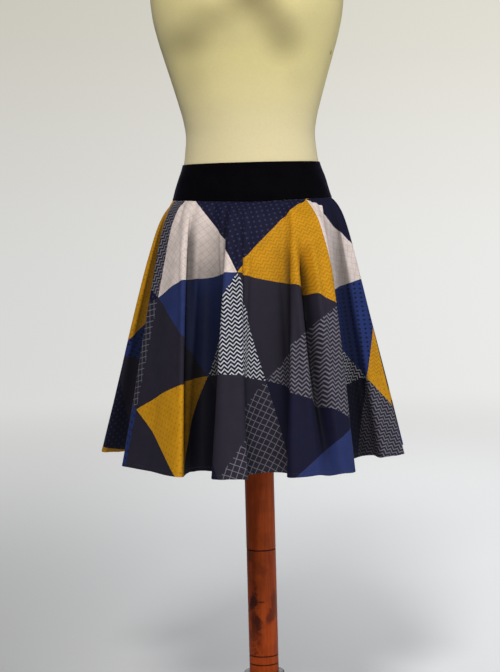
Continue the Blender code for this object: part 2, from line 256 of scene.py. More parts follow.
# Flutes round the hem. Left and right are the angles of a flute's two edges, seen from outside, and
# the valley is the one after its right edge. The cloth of each leaves the waistband at the angle of
# the same name. Bulge is how far the flute's front stands out between its edges.
Flute = namedtuple(
    "Flute",
    "band_left band_right band_valley left left_reach right right_reach bulge valley valley_reach",
)
FLUTES = table(Flute, (
    (-112.0, -100.0, -88.0, -112.0, 0.300, -101.0, 0.297, 0.012, -87.0, 0.217),
    (-76.0, -56.0, -40.0, -63.9, 0.2643, -27.1, 0.2865, 0.009, -29.0, 0.227),
    (-21.0, -8.0, 10.0, -15.8, 0.3003, -4.4, 0.2999, 0.010, 2.4, 0.236),
    (36.5, 62.0, 68.0, 9.5, 0.287, 33.0, 0.3004, 0.016, 54.0, 0.200),
    (75.0, 82.0, 92.0, 66.5, 0.240, 75.0, 0.2735, 0.004, 90.0, 0.220),
    (102.0, 113.0, 122.0, 99.0, 0.271, 113.0, 0.281, 0.008, 122.5, 0.216),
    (131.0, 142.0, 151.5, 130.5, 0.284, 143.0, 0.288, 0.012, 152.5, 0.213),
    (161.0, 173.0, 182.0, 161.0, 0.284, 174.5, 0.291, 0.013, 182.5, 0.217),
    (191.0, 203.0, 212.0, 190.5, 0.287, 204.5, 0.292, 0.015, 213.0, 0.219),
    (221.0, 231.0, 239.5, 221.0, 0.278, 232.5, 0.281, 0.011, 239.5, 0.226),
))
# Walls between a flute and its valley: the middle of a wall by its share of the drop, how far it is
# drawn in under the flute's edge, and its share of the way round the waistband
WALL_DEPTH = 0.5
WALL_TUCK = 0.011
WALL_BAND_SHARE = 0.35

# Outline points of the side seams, in the valleys after the first and the fifth flute
SIDE_SEAMS = (4, 28)

# Creases of the skirt, placed by outline point and by share of the length. A crease starts at point
# and wanders by lean; depth is inwards, and negative for a ridge. One that ends past 1 runs on
# through the hem.
Crease = namedtuple("Crease", "point lean start end width depth")
CREASES = table(Crease, (
    # the front
    (5.45, 0.05, 0.02, 0.95, 0.0062, 0.0060),
    (6.50, 0.25, 0.04, 0.85, 0.0120, 0.0020),
    (7.30, -0.20, 0.10, 1.10, 0.0160, -0.0026),
    (8.30, 0.15, 0.00, 1.25, 0.0074, 0.0110),
    (10.30, -0.20, 0.10, 0.75, 0.0110, 0.0014),
    (11.62, 0.00, 0.00, 0.98, 0.0064, 0.0084),
    (12.90, 0.10, 0.10, 0.80, 0.0100, 0.0012),
    (14.32, 0.00, 0.00, 1.05, 0.0062, 0.0086),
    (15.60, 0.30, 0.08, 0.70, 0.0120, 0.0012),
    (17.66, 0.00, 0.06, 1.05, 0.0060, 0.0060),
    (18.67, 0.66, 0.10, 1.30, 0.0092, 0.0300),
    (19.70, 0.05, 0.12, 1.30, 0.0130, -0.0030),
    (20.30, 0.05, 0.00, 1.05, 0.0065, 0.0066),
    (22.60, -0.15, 0.10, 0.80, 0.0100, 0.0018),
    (24.60, 0.20, 0.04, 0.85, 0.0090, 0.0018),
    (26.60, 0.00, 0.02, 0.80, 0.0090, 0.0020),
    # the back
    (28.70, 0.10, 0.02, 0.72, 0.0100, 0.0020),
    (30.60, -0.10, 0.05, 0.95, 0.0120, -0.0018),
    (31.40, 0.20, 0.10, 1.35, 0.0090, 0.0070),
    (33.40, 0.00, 0.00, 0.90, 0.0062, 0.0044),
    (35.60, 0.05, 0.00, 0.95, 0.0064, 0.0048),
    (37.20, 0.25, 0.12, 1.60, 0.0100, 0.0090),
    (38.40, -0.05, 0.00, 0.80, 0.0060, 0.0040),
    (41.60, 0.05, 0.00, 1.00, 0.0062, 0.0050),
    (42.50, -0.10, 0.08, 0.90, 0.0130, -0.0022),
    (43.30, 0.15, 0.05, 1.20, 0.0090, 0.0060),
    (45.40, 0.00, 0.00, 0.85, 0.0062, 0.0042),
    (47.60, 0.05, 0.00, 0.95, 0.0062, 0.0048),
    (49.25, -0.35, 0.12, 1.60, 0.0098, 0.0095),
    (50.40, 0.05, 0.00, 0.90, 0.0062, 0.0042),
    (53.60, 0.00, 0.00, 1.00, 0.0062, 0.0046),
    (55.00, 0.20, 0.10, 1.30, 0.0095, 0.0064),
    (56.40, 0.05, 0.00, 0.80, 0.0060, 0.0040),
    (59.60, 0.00, 0.00, 0.90, 0.0062, 0.0046),
    (61.00, -0.15, 0.08, 1.30, 0.0095, 0.0064),
    (62.40, 0.05, 0.00, 0.85, 0.0062, 0.0042),
))

# Gathers under the waistband. Length is a share of the skirt's.
Gather = namedtuple("Gather", "point lean length width depth")
GATHERS = table(Gather, (
    (4.90, 0.10, 0.12, 0.0044, 0.0016),
    (6.10, -0.10, 0.09, 0.0040, 0.0014),
    (7.35, -0.15, 0.15, 0.0048, 0.0018),
    (8.90, 0.10, 0.11, 0.0044, 0.0018),
    (10.45, -0.10, 0.08, 0.0042, 0.0014),
    (11.80, -0.10, 0.14, 0.0044, 0.0016),
    (12.95, 0.05, 0.07, 0.0038, 0.0012),
    (14.05, 0.10, 0.12, 0.0042, 0.0020),
    (15.42, 0.15, 0.08, 0.0042, 0.0012),
    (16.17, 0.30, 0.12, 0.0042, 0.0016),
    (16.56, 0.35, 0.09, 0.0040, 0.0022),
    (16.91, 1.24, 0.17, 0.0048, 0.0042),
    (17.60, 0.25, 0.10, 0.0040, 0.0016),
    (18.10, 0.20, 0.07, 0.0038, 0.0014),
    (18.87, -0.35, 0.09, 0.0042, 0.0026),
    (19.35, 0.12, 0.07, 0.0040, 0.0016),
    (19.72, 0.10, 0.15, 0.0042, 0.0026),
    (21.40, 0.10, 0.10, 0.0042, 0.0018),
    (23.30, -0.10, 0.08, 0.0042, 0.0014),
    (25.10, 0.15, 0.14, 0.0046, 0.0018),
    (26.90, -0.10, 0.10, 0.0044, 0.0016),
    (28.60, 0.15, 0.15, 0.0048, 0.0020),
    (30.10, -0.05, 0.08, 0.0040, 0.0014),
    (31.30, 0.15, 0.13, 0.0046, 0.0020),
    (32.80, -0.10, 0.10, 0.0044, 0.0016),
    (34.40, 0.10, 0.17, 0.0048, 0.0022),
    (36.10, -0.10, 0.09, 0.0042, 0.0016),
    (37.50, 0.10, 0.14, 0.0046, 0.0022),
    (39.20, 0.05, 0.07, 0.0038, 0.0014),
    (40.50, -0.10, 0.12, 0.0046, 0.0018),
    (42.30, 0.15, 0.17, 0.0048, 0.0022),
    (43.90, -0.05, 0.09, 0.0040, 0.0014),
    (45.60, 0.10, 0.14, 0.0046, 0.0020),
    (47.30, -0.10, 0.10, 0.0044, 0.0016),
    (48.90, 0.10, 0.15, 0.0048, 0.0020),
    (50.80, -0.10, 0.09, 0.0044, 0.0016),
    (52.30, 0.10, 0.13, 0.0046, 0.0018),
    (54.20, -0.05, 0.10, 0.0042, 0.0016),
    (55.50, 0.15, 0.16, 0.0048, 0.0022),
    (57.40, -0.10, 0.08, 0.0040, 0.0014),
    (58.90, 0.10, 0.13, 0.0046, 0.0018),
    (60.70, -0.10, 0.10, 0.0042, 0.0016),
    (62.10, 0.10, 0.14, 0.0046, 0.0020),
    (63.30, -0.05, 0.09, 0.0042, 0.0014),
))

# How far above the cloth's top a gather sets in, as a share of the length
GATHER_LEAD = 0.015

# Form of all creases: the shares in which they set in and fade, how much wider they end, and the
# low shoulders beside them, placed and sized by a crease's width
CREASE_FADE_IN = 0.18
CREASE_FADE_OUT = 0.65
CREASE_WIDENING = 0.60
CREASE_SHOULDER = 0.30
SHOULDER_PLACE = 1.7
SHOULDER_WIDTH = 0.8

# Slow unevenness of the cloth: rounds are whole waves round the body, drift turns them down it
Ripple = namedtuple("Ripple", "rounds drift depth")
RIPPLES = table(Ripple, (
    (31, 5.0, 0.00050),
    (47, -7.0, 0.00035),
    (83, 11.0, 0.00018),
))
HEM_RIPPLES = table(Ripple, (
    (19, 0.7, 0.00080),
    (43, 2.1, 0.00050),
    (101, 4.0, 0.00020),
))

# Turn from one ripple to the next, the share in which they set in, and the power of the length by
# which the hem's own set in
RIPPLE_TURN = 2.1
RIPPLE_EASE_SHARE = 0.25
HEM_RIPPLE_POWER = 6

# Least gap from the cloth's inside to the form, which sets in just below the form's bottom
CLEAR_OF_FORM = 0.0008
CLEARING_BELOW = 0.012
CLEARING_RISE = 0.010

# Print: each row is one triangle of the repeat
Patch = namedtuple("Patch", "ground figure motif")
PATCHES = table(Patch, (
    ("charcoal", "charcoal", "plain"),
    ("mustard", "ochre", "zigzag"),
    ("charcoal", "slate", "check"),
    ("navy", "indigo", "dots"),
    ("charcoal", "charcoal", "plain"),
    ("navy", "off_white", "zigzag"),
    ("blue", "navy", "diamonds"),
    ("blue", "indigo", "zigzag"),
    ("blush", "rose", "check"),
    ("navy", "navy", "plain"),
    ("charcoal", "slate", "zigzag"),
    ("mustard", "ochre", "dots"),
))
MOTIFS = ("dots", "zigzag", "check", "diamonds")

# Rows of PATCHES to go on by for each column, each row and the half that leans down
PATCH_STEPS = (5.0, 8.0, 7.0)

# The lattice's turn and shift on the cloth's cut
PRINT_TURN = math.radians(11)
PRINT_SHIFT = (0.022, 0.0, 0.0)

# Figures: how far they turn from patch to patch, their pitches in metres, and the values from which
# to which their edges fade in
MOTIF_TURN = 0.66
DOT_PITCH = 0.0095
ZIGZAG_PITCH = 0.0074
ZIGZAG_RISE = 0.0060
CHECK_PITCH = 0.0105
DIAMOND_PITCH = 0.0126
DIAMOND_HEIGHT = 0.0084
DOT_EDGE = (0.20, 0.165)
ZIGZAG_EDGE = (0.20, 0.165)
CHECK_EDGE = (0.062, 0.042)
DIAMOND_EDGE = (0.29, 0.255)

# Colour that the cloth's inside fades to, and how far it does
FADED = (0.30, 0.29, 0.31, 1.0)
INSIDE_FADING = 0.34

# Changes of a look with a place or a value: from one to another of it, the look goes from one share
# to another. The fold's painted shade is by the cloth's point attribute of painted fold shade, and
# the groove's painted shade by the height from its middle.
FOLD_SHADE = (0.12, 0.62, 1.0, 0.22)
GROOVE_SHADE = (0.0016, 0.0009, 0.0, 0.97)
# painted light: the form's colour goes paler towards the waist
PALE_WAIST = (1.22, 1.06)
# the jersey's painted shade sets in towards the front
PAINTED_SHADE_FRONT = (0.0, -0.05)
NICK_EDGE = (1.1, 0.5)
SPOT_EDGE = (0.0, 1.2)
STAIN_EDGE = (1.20, 0.45)
FLOOR_FAR = (0.3, 6.0)
FLOOR_AHEAD = (0.2, 0.9)
FLOOR_SIDES = (-0.9, 0.9, 0.42, 1.12)
GLOW_SIDES = (-3.0, 3.0, 0.86, 1.14)
GLOW_UP = (0.3, 3.2, 1.0, 0.84)
WALL_UP = (0.2, 3.0)

# Sizes of surface patterns, the weave's slubs along and across, and how rough the cloth is and by
# how much that differs
WEAVE_SPACING = 0.0007
JERSEY_LOOP = 0.0013
GRAIN_WIDTH = 0.0075
SLUBS_PER_METRE = (60.0, 900.0)
CLOTH_ROUGHNESS = 0.74
INSIDE_ROUGHNESS = 0.82
ROUGHNESS_SPREAD = 0.05

# Steeper edges than that are drawn sharp
SHARP_EDGE = math.radians(50)
SHARP_BAND_EDGE = math.radians(60)
SHARP_PANEL_EDGE = math.radians(70)

# Small dark nick in the jersey at the left of the ribs: middle, half sizes, and how far it moves
# along X for each metre up
NICK_PLACE = (0.150, -0.038, 1.230)
NICK_SIZE = (0.0022, 0.012, 0.0056)
NICK_SLANT = -0.25
NICK_STRENGTH = 0.55


def length_property(name, description, default, least, most, precision=4):
    return bpy.props.FloatProperty(
        name=name, description=description, default=default, min=least, max=most,
        unit="LENGTH", precision=precision,
    )


def share_property(name, description, default, most):
    return bpy.props.FloatProperty(
        name=name, description=description, default=default, min=0.0, max=most,
        subtype="FACTOR",
    )


class SkirtSizes(bpy.types.PropertyGroup):
    """Sizes of the skirt's cloth, print and hem."""
    cloth: length_property(
        "Cloth Thickness", "Thickness of the printed cloth", 0.0009, 0.0003, 0.0015, 5)
    hem_width: length_property("Hem Width", "Width of the turned hem", 0.0080, 0.004, 0.03)
    hem_layer: length_property(
        "Hem Layer", "Thickness that the turned edge adds inside", 0.0007, 0.0, 0.002, 5)
    stitch_height: length_property(
        "Stitch Height", "Height of the stitch row above the hem's edge", 0.0060, 0.002, 0.03)
    creases: share_property("Creases", "Share of the creases' full depth", 1.0, 1.5)
    patch_side: length_property(
        "Patch Side", "Side of one triangle of the print", 0.205, 0.05, 0.4, 3)


class StitchSizes(bpy.types.PropertyGroup):
    """Sizes of the hem's stitches."""
    length: length_property(
        "Stitch Length", "Length of one stitch that shows", 0.0023, 0.001, 0.006)
    gap: length_property("Stitch Gap", "Gap between two stitches", 0.0008, 0.0002, 0.004)
    thread: length_property("Thread Radius", "Radius of the thread", 0.00028, 0.0001, 0.001, 5)
    unevenness: share_property(
        "Unevenness", "Share by which stitch lengths differ", 0.12, 0.5)
    seed: bpy.props.IntProperty(
        name="Seed", description="Start of the random stitch lengths", default=4, min=0,
    )


def colour_property(name, description, default):
    return bpy.props.FloatVectorProperty(
        name=name, description=description, default=default,
        size=3, min=0.0, max=1.0, subtype="COLOR",
    )


class SkirtColours(bpy.types.PropertyGroup):
    """Colours of the skirt, the dress form and the stand."""
    charcoal: colour_property("Charcoal", "Dark grey of the print", (0.0200, 0.0172, 0.0300))
    slate: colour_property("Slate", "Grey figures on charcoal", (0.1700, 0.1620, 0.2000))
    navy: colour_property("Navy", "Dark blue of the print", (0.0054, 0.0058, 0.0245))
    indigo: colour_property("Indigo", "Figures on navy", (0.0260, 0.0300, 0.0800))
    blue: colour_property("Blue", "Mid blue of the print", (0.0150, 0.0310, 0.1400))
    mustard: colour_property("Mustard", "Yellow of the print", (0.5600, 0.2650, 0.0070))
    ochre: colour_property("Ochre", "Figures on mustard", (0.4300, 0.1900, 0.0062))
    blush: colour_property("Blush", "Pale pink of the print", (0.7000, 0.6050, 0.5700))
    rose: colour_property("Rose", "Figures on blush", (0.5800, 0.4850, 0.4600))
    off_white: colour_property("Off White", "Light figures on navy", (0.5600, 0.5700, 0.6100))
    velvet: colour_property("Velvet", "Waistband", (0.0010, 0.0009, 0.0015))
    jersey: colour_property("Jersey", "Dress form", (0.6750, 0.5880, 0.2740))
    # the form's colour painted lighter towards the waist, as painted light
    jersey_pale: colour_property("Pale Jersey", "Form at the waist", (0.7150, 0.6280, 0.3750))
    # dark colour of the painted shade on the front of the form
    jersey_painted_shade: colour_property("Shaded Jersey", "Shadowed places", (0.1600, 0.1250, 0.0560))
    jersey_shade: colour_property("Jersey Shade", "Duller spots", (0.6000, 0.5300, 0.2850))
    wood_light: colour_property("Light Wood", "Light grain", (0.4100, 0.0680, 0.0085))
    wood_dark: colour_property("Dark Wood", "Dark grain", (0.2800, 0.0390, 0.0042))
    # also the colour of the painted shade in the pole's grooves
    wood_stain_and_groove_shade: colour_property("Stain", "Stains in the varnish", (0.0480, 0.0080, 0.0045))
    collar: colour_property("Collar", "Collar of the pole", (0.0400, 0.0420, 0.0460))
    thread: colour_property("Thread", "Hem stitches", (0.0200, 0.0200, 0.0300))
    floor: colour_property("Floor", "Floor round the stand", (0.8000, 0.8050, 0.8200))
    glow: colour_property("Glow", "Glow of the far floor", (0.7300, 0.7300, 0.7200))
    wall: colour_property("Wall", "Glow of the backdrop", (0.7400, 0.7150, 0.6200))
    side: colour_property("Side", "Glow beside the stand", (0.6900, 0.7150, 0.7400))


# Meshes

def grid_faces(rows, columns):
    """Quads of a round grid whose rows run upwards and columns towards growing angles.

    Returns the faces and, for each corner, its row and its column counted on past the last.
    """
    row, column = np.meshgrid(np.arange(rows - 1), np.arange(columns), indexing="ij")
    row = row.ravel()
    column = column.ravel()
    corner_row = np.stack([row, row, row + 1, row + 1], axis=1)
    corner_column = np.stack([column, column + 1, column + 1, column], axis=1)
    faces = corner_row * columns + corner_column % columns
    return faces, corner_row, corner_column


def end_faces(rows, columns):
    """Faces that close a round grid below its first row and above its last."""
    last = (rows - 1) * columns
    return [list(reversed(range(columns))), list(range(last, last + columns))]


def ring_faces(rows, columns):
    """Quads of a round grid whose last row joins its first."""
    return (grid_faces(rows + 1, columns)[0] % (rows * columns)).tolist()


def new_object(name, data):
    """An object of that data, in the scene."""
    made = bpy.data.objects.new(name, data)
    bpy.context.scene.collection.objects.link(made)
    return made


def make_piece(name, points, faces, materials, slots=None, cut=None, painted_fold_shade=None,
               sharp=SHARP_EDGE):
    """A mesh object from rows of points. Cut is the flat place of each face's corners."""
    mesh = bpy.data.meshes.new(name)
    mesh.from_pydata(np.asarray(points).tolist(), [], faces)
    for material in materials:
        mesh.materials.append(material)
    if slots is not None:
        mesh.polygons.foreach_set("material_index", np.asarray(slots, dtype=np.int32))
    if cut is not None:
        layer = mesh.uv_layers.new(name="cut")
        layer.data.foreach_set("uv", np.asarray(cut, dtype=np.float32).ravel())
    # painted shade of the folds, as a point attribute that the cloth's colour reads
    if painted_fold_shade is not None:
        layer = mesh.attributes.new("painted_fold_shade", "FLOAT", "POINT")
        layer.data.foreach_set("value", np.asarray(painted_fold_shade, dtype=np.float32).ravel())
    mesh.shade_smooth()
    mesh.set_sharp_from_angle(angle=sharp)
    mesh.validate()
    return new_object(name, mesh)


def corner_arc(radius, height, corner, start_degrees, end_degrees):
    """Profile points of a rounded edge: (distance from the axis, height)."""
    points = []
    for step in range(ARC_STEPS + 1):
        angle = math.radians(start_degrees + (end_degrees - start_degrees) * step / ARC_STEPS)
        points.append((radius + corner * math.cos(angle), height + corner * math.sin(angle)))
    return points


def turned_points(profile):
    """Points of a profile turned round the axis, one ring after another."""
    profile = np.array(profile)
    angles = 2 * np.pi * np.arange(TURNED_SEGMENTS) / TURNED_SEGMENTS
    x = profile[:, :1] * np.cos(angles)
    y = profile[:, :1] * np.sin(angles)
    z = np.repeat(profile[:, 1:], TURNED_SEGMENTS, axis=1)
    return np.stack([x, y, z], axis=-1).reshape(-1, 3)


def turned_piece(name, profile, material):
    """A solid turned from an open profile that runs upwards on its outside."""
    faces = grid_faces(len(profile), TURNED_SEGMENTS)[0].tolist()
    faces += end_faces(len(profile), TURNED_SEGMENTS)
    return make_piece(name, turned_points(profile), faces, [material])


def turned_ring(name, profile, material):
    """A ring turned from a closed profile that runs upwards on its outside."""
    faces = ring_faces(len(profile), TURNED_SEGMENTS)
    return make_piece(name, turned_points(profile), faces, [material])


# Form and skirt surfaces

def smooth_values(places, values, at):
    """Values at places on a smooth curve through (places, values), without overshoot."""
    places = np.asarray(places, dtype=float)
    values = np.asarray(values, dtype=float)
    at = np.asarray(at, dtype=float)
    rises = np.diff(values) / np.diff(places)
    slopes = np.zeros_like(values)
    slopes[0] = rises[0]
    slopes[-1] = rises[-1]
    same_way = rises[:-1] * rises[1:] > 0
    total = np.where(same_way, rises[:-1] + rises[1:], 1.0)
    slopes[1:-1] = np.where(same_way, 2 * rises[:-1] * rises[1:] / total, 0.0)
    index = np.clip(np.searchsorted(places, at, side="right") - 1, 0, len(places) - 2)
    width = places[index + 1] - places[index]
    share = (at - places[index]) / width
    return hermite(
        values[index], values[index + 1], width * slopes[index], width * slopes[index + 1], share
    )


def hermite(start, end, leaving, arriving, share):
    squared = share * share
    cubed = squared * share
    return (
        start * (2 * cubed - 3 * squared + 1)
        + leaving * (cubed - 2 * squared + share)
        + end * (3 * squared - 2 * cubed)
        + arriving * (cubed - squared)
    )


def smooth_step(value):
    value = np.clip(value, 0.0, 1.0)
    return value * value * (3 - 2 * value)


def form_size(height, column):
    places = [section.height for section in FORM_SECTIONS]
    values = [getattr(section, column) for section in FORM_SECTIONS]
    return smooth_values(places, values, height)


def form_reach(height, angle):
    """Distance from the axis to the form without its bust."""
    side = np.abs(np.sin(angle))
    ahead = np.cos(angle)
    depth = np.where(ahead > 0, form_size(height, "front"), form_size(height, "back"))
    power = form_size(height, "squareness")
    width = form_size(height, "half_width")
    return ((side / width) ** power + (np.abs(ahead) / depth) ** power) ** (-1 / power)


def form_points(height, degrees, out=0.0):
    """Points on the dress form, or a distance out from it in its level sections."""
    height, degrees, out = np.broadcast_arrays(height, degrees, out)

    def bare(angle):
        reach = form_reach(height, angle)
        ahead = np.cos(angle)
        x = reach * np.sin(angle)
        y = -reach * ahead
        rise = (height - BUST_HEIGHT) / BUST_SPREAD
        for centre in (-BUST_SIDE, BUST_SIDE):
            across = (x - centre) / BUST_BREADTH
            y = y - BUST_SWELL * np.exp(-across**2 - rise**2) * np.maximum(ahead, 0.0)
        return x, y

    angle = np.radians(degrees)
    nearby = math.radians(NEARBY_DEGREES)
    x, y = bare(angle)
    after_x, after_y = bare(angle + nearby)
    before_x, before_y = bare(angle - nearby)
    along_x = after_x - before_x
    along_y = after_y - before_y
    length = np.hypot(along_x, along_y)
    return np.stack([x + out * along_y / length, y - out * along_x / length, height], axis=-1)


def band_foot(degrees):
    """Height of the waistband's lower edge, which dips a little at the front and the right."""
    angle = np.radians(degrees)
    ahead = np.maximum(np.cos(angle), 0.0)
    return BAND_FOOT - BAND_FRONT_DIP * ahead**2 - BAND_RIGHT_DIP * np.sin(angle)


def in_plan(degrees, reach):
    angle = math.radians(degrees)
    return np.array([math.sin(angle), -math.cos(angle)]) * reach


def tucked_wall(degrees, reach, valley_reach, tuck):
    """A point of a flute's wall, drawn in under its edge."""
    drop = (reach - valley_reach) * WALL_DEPTH
    angle = math.radians(degrees)
    return in_plan(degrees, reach - drop) + np.array([math.cos(angle), math.sin(angle)]) * tuck


def hem_outline():
    """Points round the hem in plan, and the angles at which their cloth leaves the band.

    A flute has six: left edge, front, right edge, right wall, valley, and the next left wall.
    """
    angles = []
    points = []
    for number, flute in enumerate(FLUTES):
        wrapped = number + 1 == len(FLUTES)
        after = FLUTES[0] if wrapped else FLUTES[number + 1]
        after_band_left = after.band_left + (360 if wrapped else 0)
        left = in_plan(flute.left, flute.left_reach)
        right = in_plan(flute.right, flute.right_reach)
        chord = right - left
        outward = np.array([chord[1], -chord[0]]) / np.hypot(*chord)
        down = flute.band_valley - flute.band_right
        up = after_band_left - flute.band_valley
        angles += [
            flute.band_left,
            (flute.band_left + flute.band_right) / 2,
            flute.band_right,
            flute.band_right + down * WALL_BAND_SHARE,
            flute.band_valley,
            after_band_left - up * WALL_BAND_SHARE,
        ]
        points += [
            left,
            (left + right) / 2 + outward * flute.bulge,
            right,
            tucked_wall(flute.right, flute.right_reach, flute.valley_reach, -WALL_TUCK),
            in_plan(flute.valley, flute.valley_reach),
            tucked_wall(after.left, after.left_reach, flute.valley_reach, WALL_TUCK),
        ]
    return np.array(angles), np.array(points)


OUTLINE_ANGLES, OUTLINE = hem_outline()
AROUND = len(OUTLINE)


def outline_directions():
    """Direction of the hem at each point of its outline, led by the nearer neighbour."""
    before = OUTLINE - np.roll(OUTLINE, 1, axis=0)
    after = np.roll(OUTLINE, -1, axis=0) - OUTLINE
    before = before / (before**2).sum(axis=1, keepdims=True)
    after = after / (after**2).sum(axis=1, keepdims=True)
    return unit(before + after)


def hem_points(place):
    """Points of the hem in plan, at places counted in outline points round the body."""
    index = np.floor(place).astype(int)
    share = (place - index)[..., None]
    directions = outline_directions()
    start = OUTLINE[index % AROUND]
    end = OUTLINE[(index + 1) % AROUND]
    length = np.linalg.norm(end - start, axis=-1, keepdims=True)
    leaving = directions[index % AROUND] * length
    arriving = directions[(index + 1) % AROUND] * length
    found = hermite(start, end, leaving, arriving, share)
    return found[..., 0], found[..., 1]


def band_angles(place):
    """Angles at which the cloth of those places leaves the waistband."""
    index = np.floor(place).astype(int)
    angles = [
        OUTLINE_ANGLES[(index + step) % AROUND] + 360.0 * ((index + step) // AROUND)
        for step in (-1, 0, 1, 2)
    ]
    steps = [after - before for before, after in zip(angles, angles[1:])]
    leaving = 2 * steps[0] * steps[1] / (steps[0] + steps[1])
    arriving = 2 * steps[1] * steps[2] / (steps[1] + steps[2])
    return hermite(angles[1], angles[2], leaving, arriving, place - index)


def flare(share):
    """Part of the way out from waistband to hem: a quick spring over the hips, then straight."""
    full = SPRING_SHARE * (1 - math.exp(-1 / SPRING_LENGTH))
    spring = SPRING_SHARE * (1 - np.exp(-share / SPRING_LENGTH))
    return share * (1 - full) + spring


def skirt_middle(place, share):
    """Middle of the smooth cloth, at places round the body and shares of the way down."""
    place, share = np.broadcast_arrays(place, share)
    degrees = band_angles(place)
    top = form_points(band_foot(degrees), degrees, GAP + BAND_THICKNESS / 2)
    top_z = top[..., 2] - GAP
    hem_x, hem_y = hem_points(place)
    ahead = np.maximum(-hem_y / np.hypot(hem_x, hem_y), 0.0)
    hem_z = HEM_HEIGHT - HEM_FRONT_DIP * ahead
    out = flare(share)
    return np.stack([
        top[..., 0] + (hem_x - top[..., 0]) * out,
        top[..., 1] + (hem_y - top[..., 1]) * out,
        top_z + (hem_z - top_z) * share,
    ], axis=-1)


def unit(vectors):
    return vectors / np.linalg.norm(vectors, axis=-1, keepdims=True)


def skirt_directions(place, share):
    """Outward direction of the smooth cloth."""
    ahead = skirt_middle(place + NEARBY, share)
    behind = skirt_middle(place - NEARBY, share)
    low = np.minimum(share + NEARBY, 1.0)
    down = skirt_middle(place, low) - skirt_middle(place, low - 2 * NEARBY)
    return unit(np.cross(down, ahead - behind))


def run_lengths(points, axis):
    """Length from the first point to each, along that axis of a grid of points."""
    steps = np.linalg.norm(np.diff(points, axis=axis), axis=-1)
    return np.insert(np.cumsum(steps, axis=axis), 0, 0.0, axis=axis)


class RoundLengths:
    """Lengths round the smooth cloth, in metres from outline point 0, one row for each share."""

    def __init__(self, shares):
        self.places = np.linspace(0, AROUND, AROUND * ARC_STEPS_PER_POINT + 1)
        points = skirt_middle(self.places[None, :], shares[:, None])
        self.lengths = run_lengths(points, 1)
        self.whole = self.lengths[:, -1:]

    def at(self, places):
        """Lengths at places that are given for all rows, or for each row in turn."""
        places = np.broadcast_to(places, (len(self.lengths), np.shape(places)[-1]))
        rounds = np.floor(places / AROUND)
        found = [
            np.interp(row - AROUND * turns, self.places, lengths)
            for row, turns, lengths in zip(places, rounds, self.lengths)
        ]
        return np.array(found) + rounds * self.whole

    def away(self, along_row, places):
        """How far lengths round lie from places, by the shorter way."""
        return (along_row - self.at(places) + self.whole / 2) % self.whole - self.whole / 2


def crease_rise(lengths, along_row, shares, crease, crease_share):
    """How far one crease lifts the cloth, in metres, where along_row are its lengths round."""
    along = ((shares - crease.start) / (crease.end - crease.start))[:, None]
    fade = smooth_step(along / CREASE_FADE_IN) * smooth_step((1 - along) / CREASE_FADE_OUT)
    run = np.clip(along, 0, 1)
    away = lengths.away(along_row, crease.point + crease.lean * run)
    across = away / (crease.width * (1 + CREASE_WIDENING * run))
    trough = np.exp(-across**2)
    from_shoulder = (np.abs(across) - SHOULDER_PLACE) / SHOULDER_WIDTH
    shoulders = CREASE_SHOULDER * np.exp(-from_shoulder**2)
    return -crease_share * crease.depth * fade * (trough - shoulders)


def ripple_rise(place, share, ripples):
    rise = np.zeros(np.broadcast(place, share).shape)
    for number, ripple in enumerate(ripples):
        angle = 2 * np.pi * ripple.rounds * place / AROUND
        rise = rise + ripple.depth * np.sin(angle + ripple.drift * share + RIPPLE_TURN * number)
    return rise


def panel_places(first, last):
    """Columns of a panel, at even widths along the hem and closer beside its side seams."""
    sides = np.linalg.norm(np.roll(OUTLINE, -1, axis=0) - OUTLINE, axis=1)
    steps = np.clip(np.round(sides / COLUMN_WIDTH), LEAST_COLUMNS, MOST_COLUMNS)
    places = [[last]]
    for point in range(first, last):
        count = int(steps[point % AROUND])
        places.append(point + np.arange(count) / count)
    beside = np.array(BESIDE_SEAM)
    return np.unique(np.concatenate(places + [first + beside, last - beside]))


def panel_shares():
    """Rows of a panel from the waistband down, closer together at the top and the hem."""
    top = np.linspace(0.0, 1.0, TOP_ROWS, endpoint=False) ** TOP_CROWDING * TOP_SHARE
    middle = np.linspace(TOP_SHARE, HEM_SHARE, MIDDLE_ROWS, endpoint=False)
    hem = np.linspace(HEM_SHARE, 1.0, HEM_ROWS)
    return np.concatenate([top, middle, hem])


def clear_form(points):
    """Moves points level outwards where they would come too close to the dress form."""
    x, y, z = points[..., 0], points[..., 1], points[..., 2]
    height = np.clip(z, FORM_SECTIONS[0].height, FORM_SECTIONS[-1].height)
    least = form_reach(height, np.arctan2(x, -y)) + CLEAR_OF_FORM
    beside = smooth_step((z - FORM_BOTTOM + CLEARING_BELOW) / CLEARING_RISE)
    reach = np.hypot(x, y)
    longer = 1 + beside * np.maximum(least / reach - 1, 0.0)
    return np.stack([x * longer, y * longer, z], axis=-1)


def painted_shade_in_folds(places, shares):
    """Painted shade for the folds: the share of the open side that the folds to the left and the
    right hide from the cloth.
    """
    round_places = np.arange(0.0, AROUND, 1 / FOLD_STEPS_PER_POINT)
    points = skirt_middle(round_places[None, :], shares[:, None])[..., :2]
    outward = unit(points)
    hidden = np.zeros(points.shape[:2])
    for side in (1, -1):
        horizon = np.zeros(points.shape[:2])
        for step in range(1, FOLD_STEPS):
            gap = np.roll(points, side * step, axis=1) - points
            height = (gap * outward).sum(axis=-1)
            away = np.linalg.norm(gap - outward * height[..., None], axis=-1)
            horizon = np.maximum(horizon, np.arctan2(height, away))
        hidden += horizon / np.pi
    # less painted shade where a fold opens towards the front, where the key lamp shines in
    straight_ahead = smooth_step((-outward[..., 1] - AHEAD_FROM) / (1 - AHEAD_FROM))
    hidden *= 1 - AHEAD_OPENNESS * straight_ahead
    return np.stack([
        np.interp(places % AROUND, round_places, row, period=AROUND) for row in hidden])


